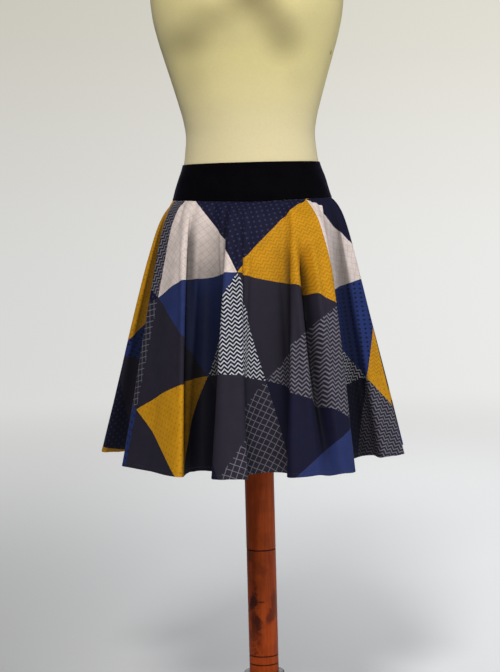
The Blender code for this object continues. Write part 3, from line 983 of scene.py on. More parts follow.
def panel_surface(first, last, sizes):
    """Middle of a panel's cloth with its creases: points, normals, columns, rows and the painted
    shade of its folds.
    """
    places = panel_places(first, last)
    past = np.array(PAST_SEAM)
    place = np.concatenate([first - past[::-1], places, last + past])[None, :]
    shares = panel_shares()
    share = shares[:, None]
    points = skirt_middle(place, share)
    normals = skirt_directions(place, share)
    rise = ripple_rise(place, share, RIPPLES) * smooth_step(share / RIPPLE_EASE_SHARE)
    gathers = [Crease(point, lean, -GATHER_LEAD, *rest) for point, lean, *rest in GATHERS]
    lengths = RoundLengths(shares)
    along_row = lengths.at(place)
    for crease in (*CREASES, *gathers):
        rise = rise + crease_rise(lengths, along_row, shares, crease, sizes.creases)
    for seam in SIDE_SEAMS:
        away = lengths.away(along_row, np.array([seam]))
        rise = rise - SEAM_GROOVE_DEPTH * np.exp(-((away / SEAM_GROOVE_WIDTH) ** 2))
    rise = rise * smooth_step(share / SEAM_EASE_SHARE)
    # painted shade in the creases, by their depth
    painted_fold_shade = CREASE_PAINTED_SHADE * np.maximum(-rise, 0.0)
    points = points + normals * rise[..., None]
    points[..., 2] += ripple_rise(place, share, HEM_RIPPLES) * share**HEM_RIPPLE_POWER

    down = np.gradient(points, axis=0)
    across = np.gradient(points, axis=1)
    normals = unit(np.cross(down, across))
    normals[0] = unit(normals[0] * np.array([1.0, 1.0, 0.0]))
    points = clear_form(points - normals * sizes.cloth / 2) + normals * sizes.cloth / 2
    inner = slice(len(past), -len(past))
    painted_fold_shade = painted_shade_in_folds(places, shares) + painted_fold_shade[:, inner]
    return points[:, inner], unit(normals)[:, inner], places, shares, painted_fold_shade


def panel_cut_angle(first, last):
    """Angle of the flat ring sector that a panel is cut as."""
    places = panel_places(first, last)
    hem = skirt_middle(places, 1.0)
    return run_lengths(hem, 0)[-1] / CUT_OUTER_RADIUS


def flat_places(first, last, places, shares, offset):
    """Where each point of a panel lies on its flat cut, in metres."""
    smooth = skirt_middle(places[None, :], shares[:, None])
    along = run_lengths(smooth, 1)
    share_round = along / along[:, -1:] - 0.5
    down = run_lengths(smooth, 0)
    radius = CUT_INNER_RADIUS + CUT_LENGTH * down / down[-1:]
    angle = share_round * panel_cut_angle(first, last)
    return np.stack([
        radius * np.sin(angle) + offset[0], -radius * np.cos(angle) + offset[1]
    ], axis=-1)


def above_hem(points):
    """Length of cloth from the edge at the hem up to each point of a panel."""
    return run_lengths(points[::-1], 0)[::-1]


def cloth_wall(points, normals, flat, sizes):
    """The closed wall of a panel: outside down, round the hem's edge, and inside up."""
    above_edge = above_hem(points)
    hem = smooth_step((sizes.hem_width - above_edge) / HEM_STEP)
    stitched = np.exp(-(((above_edge - sizes.stitch_height) / STITCH_PULL_WIDTH) ** 2))
    half = sizes.cloth / 2
    outside = half + HEM_OUTSIDE * hem - STITCH_PULL * stitched
    inside = half + sizes.hem_layer * hem - STITCH_PULL * stitched
    outer = points + normals * outside[..., None]
    inner = points - normals * inside[..., None]

    middle = (outer[-1] + inner[-1]) / 2
    spoke = (outer[-1] - inner[-1]) / 2
    down = unit(points[-1] - points[-2])
    radius = np.linalg.norm(spoke, axis=-1, keepdims=True)
    bend = []
    for angle in np.radians(HEM_BEND_DEGREES):
        bend.append(middle + spoke * np.cos(angle) + down * radius * np.sin(angle))
    loop = np.concatenate([outer, np.array(bend), inner[::-1]])
    bend_flat = np.repeat(flat[-1:], len(bend), axis=0)
    loop_flat = np.concatenate([flat, bend_flat, flat[::-1]])
    return loop, loop_flat


def loop_faces(loop_rows, outer_rows, columns):
    """Faces of a wall's loop, its top edge and its two side edges, with their corners' rows."""
    row, column = np.meshgrid(np.arange(loop_rows), np.arange(columns - 1), indexing="ij")
    row = row.ravel()
    column = column.ravel()
    after = (row + 1) % loop_rows
    corner_row = np.stack([row, after, after, row], axis=1)
    corner_column = np.stack([column, column, column + 1, column + 1], axis=1)
    inside = (row > outer_rows + 1).astype(int)
    sides = []
    for near in range((loop_rows - 1) // 2):
        far = loop_rows - 1 - near
        sides.append(([near + 1, near, far, far - 1], [0] * 4))
        sides.append(([near, near + 1, far - 1, far], [columns - 1] * 4))
    corner_row = np.concatenate([corner_row, [side[0] for side in sides]])
    corner_column = np.concatenate([corner_column, [side[1] for side in sides]])
    inside = np.concatenate([inside, np.zeros(len(sides), dtype=int)])
    return corner_row, corner_column, inside


# Shader trees

class Wires:
    """Adds nodes to one tree, and links what they are given."""

    def __init__(self, tree):
        self.tree = tree

    def feed(self, socket, value):
        if isinstance(value, bpy.types.NodeSocket):
            self.tree.links.new(value, socket)
        else:
            socket.default_value = value

    def node(self, kind, inputs=None, **settings):
        node = self.tree.nodes.new(kind)
        for name, value in settings.items():
            setattr(node, name, value)
        for key, value in (inputs or {}).items():
            self.feed(node.inputs[key], value)
        return node

    def math(self, operation, *values):
        return self.node("ShaderNodeMath", dict(enumerate(values)), operation=operation).outputs[0]

    def plus(self, first, second):
        return self.math("ADD", first, second)

    def less(self, first, second):
        return self.math("SUBTRACT", first, second)

    def times(self, first, second):
        return self.math("MULTIPLY", first, second)

    def over(self, first, second):
        return self.math("DIVIDE", first, second)

    def times_plus(self, first, second, third):
        return self.math("MULTIPLY_ADD", first, second, third)

    def vector(self, operation, *values):
        node = self.node("ShaderNodeVectorMath", dict(enumerate(values)), operation=operation)
        return node.outputs["Value" if operation == "LENGTH" else "Vector"]

    def parts(self, vector):
        return self.node("ShaderNodeSeparateXYZ", {0: vector}).outputs

    def joined(self, x, y, z=0.0):
        return self.node("ShaderNodeCombineXYZ", {0: x, 1: y, 2: z}).outputs[0]

    def mix(self, factor, first, second, blend_type="MIX"):
        node = self.node("ShaderNodeMix", data_type="RGBA", blend_type=blend_type)
        self.feed(node.inputs[0], factor)
        self.feed(node.inputs[6], first)
        self.feed(node.inputs[7], second)
        return node.outputs[2]

    def shaded(self, colour, shade):
        """A colour times a value."""
        return self.mix(1.0, colour, self.joined(shade, shade, shade), "MULTIPLY")

    def chart(self, value, colours):
        """Colours of four numbers, in even steps while the value goes from 0 to 1."""
        node = self.node("ShaderNodeValToRGB", {0: value})
        band = node.color_ramp
        band.interpolation = "CONSTANT"
        while len(band.elements) < len(colours):
            band.elements.new(1.0)
        for index, colour in enumerate(colours):
            band.elements[index].position = index / len(colours)
            band.elements[index].color = colour
        return node.outputs

    def between(self, value, low, high, least=0.0, most=1.0):
        """Smooth change from least to most while the value goes from low to high."""
        node = self.node("ShaderNodeMapRange", {
            "Value": value, "From Min": low, "From Max": high, "To Min": least, "To Max": most,
        }, interpolation_type="SMOOTHSTEP")
        return node.outputs["Result"]

    def noise(self, vector, scale, detail=3.0, roughness=0.55, distortion=0.0):
        return self.node("ShaderNodeTexNoise", {
            "Vector": vector, "Scale": scale, "Detail": detail, "Roughness": roughness,
            "Distortion": distortion,
        }).outputs["Fac"]

    def bump(self, height, strength, distance, normal=None):
        inputs = {"Height": height, "Strength": strength, "Distance": distance}
        if normal is not None:
            inputs["Normal"] = normal
        return self.node("ShaderNodeBump", inputs).outputs["Normal"]

    def place(self):
        """Object coordinates."""
        return self.node("ShaderNodeTexCoord").outputs["Object"]

    def cut_place(self):
        """Flat places of a cloth's cut."""
        return self.node("ShaderNodeUVMap", uv_map="cut").outputs[0]

    def group(self, tree, inputs):
        return self.node("ShaderNodeGroup", inputs, node_tree=tree).outputs


def opaque(colour):
    return (*colour, 1.0)


def add_socket(tree, label, in_out, kind, default=None):
    socket = tree.interface.new_socket(
        name=label, in_out=in_out, socket_type="NodeSocket" + kind)
    if default is not None:
        socket.default_value = default


def shared_group(name, inputs, outputs):
    """Decorator for a function that fills a shader group and returns what the group puts out.

    The group is made at its first use and found by its name later. Inputs are labels with values
    to start from, and None stands for a vector.
    """
    def decorate(fill):
        def find(*given):
            tree = bpy.data.node_groups.get(name)
            if tree:
                return tree
            tree = bpy.data.node_groups.new(name, "ShaderNodeTree")
            for label, default in inputs.items():
                kind = "Vector" if default is None else "Float"
                add_socket(tree, label, "INPUT", kind, default)
            for label in outputs:
                add_socket(tree, label, "OUTPUT", "Color" if label == "Colour" else "Float")
            wires = Wires(tree)
            entry = wires.node("NodeGroupInput")
            leave = wires.node("NodeGroupOutput")
            for label, value in zip(outputs, fill(wires, entry.outputs, *given)):
                wires.feed(leave.inputs[label], value)
            return tree
        return find
    return decorate


@shared_group("Triangle Print", {"Cut": None, "Patch Side": 0.17, "Fading": 0.0}, ("Colour",))
def print_group(wires, given, colours):
    """The print: a lattice of large triangles with small figures in them."""
    turned = wires.node(
        "ShaderNodeVectorRotate",
        {"Vector": wires.vector("SUBTRACT", given["Cut"], PRINT_SHIFT), "Angle": PRINT_TURN},
        rotation_type="Z_AXIS",
    ).outputs[0]
    x, y, _ = wires.parts(turned)
    up = wires.over(y, wires.times(given["Patch Side"], math.sqrt(3) / 2))
    along = wires.less(wires.over(x, given["Patch Side"]), wires.times(up, 0.5))
    column = wires.math("FLOOR", along)
    row = wires.math("FLOOR", up)
    in_column = wires.math("FRACT", along)
    in_row = wires.math("FRACT", up)
    leans_down = wires.math("GREATER_THAN", wires.plus(in_column, in_row), 1.0)
    number = wires.times_plus(column, PATCH_STEPS[0], wires.times(row, PATCH_STEPS[1]))
    number = wires.times_plus(leans_down, PATCH_STEPS[2], number)
    number = wires.math("FLOORED_MODULO", number, float(len(PATCHES)))
    place = wires.over(wires.plus(number, 0.5), float(len(PATCHES)))

    def chart(part):
        found = wires.chart(place, [opaque(getattr(colours, getattr(patch, part)))
                                    for patch in PATCHES])
        return found["Color"]

    ground = chart("ground")
    figure = chart("figure")
    kinds = wires.chart(place, [
        tuple(float(patch.motif == motif) for motif in MOTIFS) for patch in PATCHES])
    first_kinds = wires.node("ShaderNodeSeparateColor", {0: kinds["Color"]}).outputs

    angle = wires.times(number, MOTIF_TURN)
    cosine = wires.math("COSINE", angle)
    sine = wires.math("SINE", angle)
    u = wires.plus(wires.times(x, cosine), wires.times(y, sine))
    v = wires.less(wires.times(y, cosine), wires.times(x, sine))

    def from_middle(value, pitch):
        cell = wires.math("FRACT", wires.over(value, pitch))
        return wires.math("ABSOLUTE", wires.less(cell, 0.5))

    dot = wires.joined(from_middle(u, DOT_PITCH), from_middle(v, DOT_PITCH))
    dots = wires.between(wires.vector("LENGTH", dot), *DOT_EDGE)
    wave = wires.math("PINGPONG", u, ZIGZAG_RISE)
    zigzag = wires.between(from_middle(wires.plus(v, wave), ZIGZAG_PITCH), *ZIGZAG_EDGE)
    lines = wires.math("MINIMUM", from_middle(u, CHECK_PITCH), from_middle(v, CHECK_PITCH))
    check = wires.between(lines, *CHECK_EDGE)
    diamond = wires.plus(from_middle(u, DIAMOND_PITCH), from_middle(v, DIAMOND_HEIGHT))
    diamonds = wires.between(diamond, *DIAMOND_EDGE)
    mask = wires.times(dots, first_kinds[0])
    mask = wires.times_plus(zigzag, first_kinds[1], mask)
    mask = wires.times_plus(check, first_kinds[2], mask)
    mask = wires.times_plus(diamonds, kinds["Alpha"], mask)

    ink = wires.between(wires.noise(given["Cut"], 42.0, 4.0, 0.6), 0.25, 0.75, 0.90, 1.07)
    printed = wires.shaded(wires.mix(mask, ground, figure), ink)
    return (wires.mix(given["Fading"], printed, FADED),)


@shared_group("Plain Weave", {"Place": None, "Thread Spacing": 0.0006}, ("Height", "Slub"))
def weave_group(wires, given):
    """A plain weave: threads that pass over and under each other."""
    x, y, _ = wires.parts(given["Place"])

    def threads(value):
        turns = wires.over(value, given["Thread Spacing"])
        return wires.math("SINE", wires.times(turns, math.pi))

    height = wires.times_plus(wires.times(threads(x), threads(y)), 0.5, 0.5)
    along, across = SLUBS_PER_METRE
    slub = wires.noise(wires.joined(wires.times(x, along), wires.times(y, across)), 1.0, 2.0)
    return height, slub


@shared_group("Jersey Knit", {"Place": None, "Loop Width": 0.0012}, ("Height",))
def knit_group(wires, given):
    """Fine jersey: columns of small V-shaped loops."""
    x, y, _ = wires.parts(given["Place"])
    u = wires.math("FRACT", wires.over(x, given["Loop Width"]))
    side = wires.math("ABSOLUTE", wires.less(u, 0.5))
    loop = wires.math("PINGPONG", wires.plus(wires.over(y, given["Loop Width"]), side), 0.5)
    rib = wires.math("PINGPONG", side, 0.25)
    return (wires.times(loop, wires.times(rib, 8.0)),)


@shared_group("Mottling", {"Place": None, "Cloud Size": 0.06, "Speck Size": 0.006},
              ("Clouds", "Specks"))
def mottling_group(wires, given):
    """Slow and fine unevenness of a dyed, stained or painted surface."""
    clouds = wires.noise(given["Place"], wires.over(1.0, given["Cloud Size"]), 4.0, 0.55)
    specks = wires.noise(given["Place"], wires.over(1.0, given["Speck Size"]), 3.0, 0.6)
    return wires.between(clouds, 0.32, 0.68), wires.between(specks, 0.30, 0.70)


@shared_group("Wood Grain", {"Place": None, "Grain Width": 0.006}, ("Figure", "Pores"))
def grain_group(wires, given):
    """Wood grain that runs along the given X axis."""
    stretched = wires.vector("MULTIPLY", given["Place"], (0.07, 1.0, 1.0))
    size = wires.over(1.0, given["Grain Width"])
    figure = wires.noise(stretched, size, 4.0, 0.6, 0.6)
    fine = wires.vector("MULTIPLY", given["Place"], (0.03, 1.0, 1.0))
    pores = wires.noise(fine, wires.times(size, 9.0), 2.0, 0.5)
    return wires.between(figure, 0.28, 0.72), wires.between(pores, 0.56, 0.72)


def mottled(wires, place, cloud_size, speck_size):
    """Clouds and specks of the shared mottling, for sizes in metres."""
    found = wires.group(mottling_group(), {
        "Place": place, "Cloud Size": cloud_size, "Speck Size": speck_size,
    })
    return found["Clouds"], found["Specks"]


def new_material(name, values):
    """A Principled material: its wires, its shader's sockets and the material."""
    material = bpy.data.materials.new(name)
    material.use_nodes = True
    shader = material.node_tree.nodes["Principled BSDF"]
    for label, value in values.items():
        shader.inputs[label].default_value = value
    return Wires(material.node_tree), shader.inputs, material


def cloth_material(name, colours, sizes, fading, roughness):
    """Printed cloth, with painted shade: darker where its attribute of painted fold shade says that
    folds hide it.
    """
    wires, shader, material = new_material(name, {
        "Sheen Weight": 0.01,
        "Sheen Roughness": 0.45,
        "Specular IOR Level": 0.14,
    })
    place = wires.cut_place()
    printed = wires.group(print_group(colours), {
        "Cut": place, "Patch Side": sizes.patch_side, "Fading": fading,
    })
    weave = wires.group(weave_group(), {"Place": place, "Thread Spacing": WEAVE_SPACING})
    shade = wires.between(weave["Slub"], 0.3, 0.7, 0.94, 1.04)
    # painted shade: the cloth's colour darkens in its folds, by the point attribute from
    # panel_surface
    painted_fold_shade = wires.node("ShaderNodeAttribute", attribute_name="painted_fold_shade").outputs["Fac"]
    shade = wires.times(shade, wires.between(painted_fold_shade, *FOLD_SHADE))
    wires.feed(shader["Base Color"], wires.shaded(printed["Colour"], shade))
    wires.feed(shader["Roughness"], wires.between(
        weave["Slub"], 0.3, 0.7, roughness - ROUGHNESS_SPREAD, roughness + ROUGHNESS_SPREAD))
    fine = wires.bump(weave["Height"], 0.25, 0.0001)
    uneven = wires.noise(place, 55.0, 3.0, 0.55)
    wires.feed(shader["Normal"], wires.bump(uneven, 0.35, 0.0008, fine))
    return material


def mottled_material(name, values, colour, lighter, sizes, tinted, roughened, roughness,
                     bump=None):
    """One colour with mottling of those sizes: tinted and roughened say by what, clouds or specks.

    Lighter is how many times lighter the colour gets. Bump is the specks' strength and depth.
    """
    wires, shader, material = new_material(name, values)
    mottling = dict(zip(("clouds", "specks"), mottled(wires, wires.place(), *sizes)))
    light = tuple(lighter * part for part in colour)
    wires.feed(shader["Base Color"], wires.mix(mottling[tinted], opaque(colour), opaque(light)))
    wires.feed(shader["Roughness"], wires.between(mottling[roughened], 0.0, 1.0, *roughness))
    if bump:
        wires.feed(shader["Normal"], wires.bump(mottling["specks"], *bump))
    return material


def velvet_material(colours):
    return mottled_material(
        "black_velvet_pile", {
            "Sheen Weight": 0.06,
            "Sheen Roughness": 0.35,
            "Sheen Tint": (0.50, 0.45, 0.95, 1.0),
            "Specular IOR Level": 0.04,
        }, colours.velvet, lighter=1.7, sizes=(0.035, 0.0016), tinted="clouds",
        roughened="specks", roughness=(0.86, 0.98), bump=(0.35, 0.0004),
    )


def collar_material(colours):
    return mottled_material(
        "dark_collar_paint", {"Specular IOR Level": 0.5},
        colours.collar, lighter=1.5, sizes=(0.020, 0.0012), tinted="clouds",
        roughened="clouds", roughness=(0.38, 0.55), bump=(0.15, 0.0003),
    )


def thread_material(colours):
    return mottled_material(
        "hem_thread", {"Sheen Weight": 0.1, "Specular IOR Level": 0.4},
        colours.thread, lighter=1.8, sizes=(0.004, 0.0005), tinted="specks",
        roughened="specks", roughness=(0.5, 0.7),
    )


def jersey_material(colours):
    """Cream jersey, painted lighter towards the waist, with painted shade under the bust and a
    small dark nick.
    """
    wires, shader, material = new_material("cream_jersey_knit", {
        "Sheen Weight": 0.12,
        "Sheen Roughness": 0.5,
        "Specular IOR Level": 0.25,
    })
    place = wires.place()
    clouds, specks = mottled(wires, place, 0.055, 0.0045)
    knit = wires.group(knit_group(), {"Place": wires.cut_place(), "Loop Width": JERSEY_LOOP})
    colour = wires.mix(wires.times(clouds, 0.22),
                       opaque(colours.jersey), opaque(colours.jersey_shade))
    specked = wires.between(specks, 0.0, 1.0, 0.985, 1.01)
    loops = wires.between(knit["Height"], 0.0, 1.0, 0.95, 1.01)
    shade = wires.times(specked, loops)
    x, y, z = wires.parts(place)
    # painted light: paler towards the waist
    colour = wires.mix(wires.between(z, *PALE_WAIST), colour, opaque(colours.jersey_pale))
    # painted shade: these places on the front are darkened as if shaded, most of them under the
    # bust
    unshaded_share = 1.0
    for spot in PAINTED_JERSEY_SHADES:
        across = wires.over(wires.less(x, spot.x), spot.half_width)
        up = wires.over(wires.less(z, spot.z), spot.half_height)
        kept = wires.between(wires.vector("LENGTH", wires.joined(across, up)), *SPOT_EDGE,
                             1.0 - spot.strength, 1.0)
        unshaded_share = wires.times(unshaded_share, kept)
    painted_shade_share = wires.times(wires.less(1.0, unshaded_share), wires.between(y, *PAINTED_SHADE_FRONT))
    colour = wires.mix(painted_shade_share, colour, opaque(colours.jersey_painted_shade))
    slanted = wires.times_plus(wires.less(z, NICK_PLACE[2]), NICK_SLANT, x)
    away = wires.vector("SUBTRACT", wires.joined(slanted, y, z), NICK_PLACE)
    away = wires.vector("DIVIDE", away, NICK_SIZE)
    nick = wires.between(wires.vector("LENGTH", away), *NICK_EDGE)
    shade = wires.times(shade, wires.times_plus(nick, -NICK_STRENGTH, 1.0))
    wires.feed(shader["Base Color"], wires.shaded(colour, shade))
    wires.feed(shader["Roughness"], wires.between(clouds, 0.0, 1.0, 0.80, 0.92))
    fine = wires.bump(knit["Height"], 0.30, 0.0002)
    wires.feed(shader["Normal"], wires.bump(specks, 0.08, 0.0005, fine))
    return material


def wood_material(name, colours, upright, stains, grooves):
    """Reddish varnished wood, with its grain upright or level."""
    wires, shader, material = new_material(name, {
        "Coat Roughness": 0.22,
        "Specular IOR Level": 0.12,
    })
    place = wires.place()
    x, y, z = wires.parts(place)
    along = wires.joined(z, x, y) if upright else wires.joined(x, y, z)
    grain = wires.group(grain_group(), {"Place": along, "Grain Width": GRAIN_WIDTH})
    clouds, specks = mottled(wires, place, 0.030, 0.0035)
    colour = wires.mix(grain["Figure"], opaque(colours.wood_dark), opaque(colours.wood_light))
    colour = wires.mix(wires.times(grain["Pores"], 0.22), colour, opaque(colours.wood_stain_and_groove_shade))
    colour = wires.shaded(colour, wires.between(clouds, 0.0, 1.0, 0.88, 1.08))
    dark = wires.times(specks, 0.06)
    rough_edge = wires.times_plus(specks, 0.30, -0.50)
    rough_edge = wires.times_plus(clouds, 0.70, rough_edge)
    for stain in stains:
        away = wires.vector("SUBTRACT", place, (stain.x, stain.y, stain.z))
        away = wires.vector("DIVIDE", away,
                            (stain.half_width, stain.half_width, stain.half_height))
        distance = wires.plus(wires.vector("LENGTH", away), rough_edge)
        stained = wires.between(distance, *STAIN_EDGE, 0.0, stain.strength)
        dark = wires.math("MAXIMUM", dark, stained)
    # painted shade: darker in the pole's grooves, in the stain's colour
    for height in grooves:
        away = wires.math("ABSOLUTE", wires.less(z, height))
        dark = wires.math("MAXIMUM", dark, wires.between(away, *GROOVE_SHADE))
    wires.feed(shader["Base Color"], wires.mix(dark, colour, opaque(colours.wood_stain_and_groove_shade)))
    wires.feed(shader["Roughness"], wires.between(clouds, 0.0, 1.0, 0.40, 0.54))
    wires.feed(shader["Coat Weight"], wires.between(specks, 0.0, 1.0, 0.05, 0.02))
    wires.feed(shader["Normal"], wires.bump(grain["Figure"], 0.18, 0.0006))
    return material


def floor_material(colours):
    """Pale floor whose far parts and curved wall glow softly, warmer and dimmer upwards."""
    wires, shader, material = new_material("pale_floor", {
        "Roughness": 0.9,
        "Specular IOR Level": 0.1,
    })
    place = wires.place()
    x, y, z = wires.parts(place)
    away = wires.vector("LENGTH", wires.joined(x, y))
    far = wires.between(away, *FLOOR_FAR)
    shade = wires.between(wires.noise(place, 0.6, 2.0), 0.3, 0.7, 0.985, 1.0)
    # painted shade and light: the near floor's colour is darker towards -X and lighter towards +X
    shade = wires.times(shade, wires.between(x, *FLOOR_SIDES))
    near_colour = wires.shaded(opaque(colours.floor), shade)
    wires.feed(shader["Base Color"], wires.mix(far, near_colour, (0.12, 0.12, 0.12, 1.0)))
    ahead = wires.between(wires.over(wires.math("ABSOLUTE", y), away), *FLOOR_AHEAD)
    glow = wires.times_plus(far, 0.84, 0.16)
    glow = wires.times(glow, wires.times_plus(ahead, 0.28, 0.72))
    glow = wires.times(glow, wires.between(x, *GLOW_SIDES))
    glow = wires.times(glow, wires.between(z, *GLOW_UP))
    colour = wires.mix(wires.between(z, *WALL_UP), opaque(colours.glow), opaque(colours.wall))
    colour = wires.mix(ahead, opaque(colours.side), colour)
    wires.feed(shader["Emission Color"], wires.shaded(colour, glow))
    # bright to the camera, and a softer light on the cloth
    seen = wires.node("ShaderNodeLightPath").outputs["Is Camera Ray"]
    wires.feed(shader["Emission Strength"], wires.times_plus(seen, 0.70, 0.30))
    return material


# Hem stitches

# Inputs of the stitches' Geometry Nodes: label, the property of StitchSizes that it takes, and kind
STITCH_INPUTS = (
    ("Stitch Length", "length", "Float"),
    ("Stitch Gap", "gap", "Float"),
    ("Thread Radius", "thread", "Float"),
    ("Unevenness", "unevenness", "Float"),
    ("Seed", "seed", "Int"),
)


def stitch_tree(material):
    """Geometry Nodes that lay stitches along the input's edges."""
    tree = bpy.data.node_groups.new("Hem Stitches", "GeometryNodeTree")
    add_socket(tree, "Geometry", "INPUT", "Geometry")
    for label, _, kind in STITCH_INPUTS:
        add_socket(tree, label, "INPUT", kind)
    add_socket(tree, "Geometry", "OUTPUT", "Geometry")
    wires = Wires(tree)
    given = wires.node("NodeGroupInput").outputs
    line = wires.node("GeometryNodeMeshToCurve", {"Mesh": given["Geometry"]}).outputs["Curve"]
    pitch = wires.plus(given["Stitch Length"], given["Stitch Gap"])
    resampled = wires.node("GeometryNodeResampleCurve", {"Curve": line}, mode="LENGTH")
    wires.feed(resampled.inputs["Length"], pitch)
    bead = wires.node("GeometryNodeMeshUVSphere", {"Segments": 6, "Rings": 4, "Radius": 1.0})
    smooth = wires.node("GeometryNodeSetShadeSmooth", {"Geometry": bead.outputs["Mesh"]})
    tangent = wires.node("GeometryNodeInputTangent").outputs[0]
    turn = wires.node("FunctionNodeAlignRotationToVector", {"Vector": tangent}, axis="X")
    least = wires.less(1.0, given["Unevenness"])
    random = wires.node("FunctionNodeRandomValue", data_type="FLOAT")
    wires.feed(random.inputs[2], least)
    wires.feed(random.inputs[3], 1.0)
    wires.feed(random.inputs["Seed"], given["Seed"])
    half = wires.times(wires.times(given["Stitch Length"], 0.5), random.outputs[1])
    size = wires.joined(half, given["Thread Radius"], given["Thread Radius"])
    laid = wires.node("GeometryNodeInstanceOnPoints", {
        "Points": resampled.outputs["Curve"], "Instance": smooth.outputs["Geometry"],
        "Rotation": turn.outputs["Rotation"], "Scale": size,
    })
    whole = wires.node("GeometryNodeRealizeInstances", {"Geometry": laid.outputs["Instances"]})
    coloured = wires.node("GeometryNodeSetMaterial", {
        "Geometry": whole.outputs["Geometry"], "Material": material,
    })
    leave = wires.node("NodeGroupOutput")
    wires.feed(leave.inputs["Geometry"], coloured.outputs["Geometry"])
    return tree


def lay_stitches(name, lines, tree, stitch):
    """Stitches along lines of points, as one plain mesh."""
    points = np.concatenate(lines)
    edges = []
    start = 0
    for line in lines:
        edges += [(start + step, start + step + 1) for step in range(len(line) - 1)]
        start += len(line)
    mesh = bpy.data.meshes.new(name)
    mesh.from_pydata(points.tolist(), edges, [])
    piece = new_object(name, mesh)
    modifier = piece.modifiers.new("Hem Stitches", "NODES")
    modifier.node_group = tree
    sockets = {item.name: item for item in tree.interface.items_tree if item.in_out == "INPUT"}
    for label, size, _ in STITCH_INPUTS:
        modifier[sockets[label].identifier] = getattr(stitch, size)
    shown = piece.evaluated_get(bpy.context.evaluated_depsgraph_get())
    made = bpy.data.meshes.new_from_object(shown)
    piece.modifiers.remove(modifier)
    piece.data = made
    made.name = name
    return piece


def hem_line(points, normals, sizes, stitch, side):
    """Line of a stitch row on a panel's outside, 1, or inside, -1."""
    above_edge = above_hem(points)
    out = sizes.cloth / 2 - STITCH_SINK + STITCH_RAISE * stitch.thread
    if side < 0:
        out += sizes.hem_layer

    def at_stitches(values):
        return np.array([[
            np.interp(sizes.stitch_height, above_edge[::-1, column], values[::-1, column, axis])
            for axis in range(3)
        ] for column in range(1, values.shape[1] - 1)])

    return at_stitches(points) + side * out * at_stitches(normals)


# Operators

class SKIRT_OT_stage(bpy.types.Operator):
    """Makes the floor with its curved backdrop, the lights and the camera"""
    bl_idname = "skirt.stage"
    bl_label = "Stage"

    FLOOR_RINGS = (0.02, 1.0, 3.0)
    FLOOR_RADIUS = 6.0
    COVE_RADIUS = 3.5
    COVE_STEPS = 24
    WALL_TOP = 5.0
    WORLD_COLOUR = (0.95, 0.97, 1.0, 1.0)
    WORLD_STRENGTH = 0.08
    LAMPS = (
        # name, place, aim, size, watts and colour
        ("key", (-0.35, -2.6, 3.0), (0.0, 0.0, 0.90), 0.8, 88.0, (1.0, 0.98, 0.95)),
        ("side", (3.0, -1.4, 1.6), (0.0, 0.0, 1.00), 1.6, 33.0, (0.97, 0.98, 1.0)),
        ("back", (-0.4, 3.4, 2.8), (0.0, 0.0, 0.80), 1.8, 80.0, (0.96, 0.98, 1.0)),
    )
    CAMERA_PLACE = (-0.0104, -3.2, 0.940)
    CAMERA_DOWN = 4.0
    CAMERA_ROLL = -1.5
    CAMERA_LENS = 92.68

    def soft_light(self, name, place, aim, size, power, colour):
        light = bpy.data.lights.new(name, "AREA")
        light.shape = "DISK"
        light.size = size
        light.energy = power
        light.color = colour
        lamp = new_object(name, light)
        lamp.location = place
        lamp.rotation_euler = (Vector(aim) - Vector(place)).to_track_quat("-Z", "Y").to_euler()
        lamp.visible_camera = False

    def execute(self, context):
        colours = context.scene.skirt_colours
        profile = [(radius, 0.0) for radius in (*self.FLOOR_RINGS, self.FLOOR_RADIUS)]
        for step in range(1, self.COVE_STEPS + 1):
            angle = math.radians(90 * step / self.COVE_STEPS)
            profile.append((
                self.FLOOR_RADIUS + self.COVE_RADIUS * math.sin(angle),
                self.COVE_RADIUS * (1 - math.cos(angle)),
            ))
        profile.append((self.FLOOR_RADIUS + self.COVE_RADIUS, self.WALL_TOP))
        faces = grid_faces(len(profile), TURNED_SEGMENTS)[0][:, ::-1].tolist()
        faces.append(list(range(TURNED_SEGMENTS)))
        floor = make_piece("floor", turned_points(profile), faces, [floor_material(colours)])

        world = bpy.data.worlds.new("studio")
        world.use_nodes = True
        sky = world.node_tree.nodes["Background"].inputs
        sky["Color"].default_value = self.WORLD_COLOUR
        sky["Strength"].default_value = self.WORLD_STRENGTH
        context.scene.world = world
        for lamp in self.LAMPS:
            self.soft_light(*lamp)

        lens = bpy.data.cameras.new("camera")
        lens.lens = self.CAMERA_LENS
        lens.sensor_width = 36.0
        camera = new_object("camera", lens)
        camera.rotation_mode = "QUATERNION"
        down = math.radians(self.CAMERA_DOWN)
        aim = Vector((0.0, math.cos(down), -math.sin(down))).to_track_quat("-Z", "Y")
        roll = Matrix.Rotation(math.radians(self.CAMERA_ROLL), 3, "Z")
        camera.rotation_quaternion = (aim.to_matrix() @ roll).to_quaternion()
        camera.location = self.CAMERA_PLACE
        context.scene.camera = camera
        context.scene.view_settings.view_transform = "Standard"
        return {"FINISHED"}


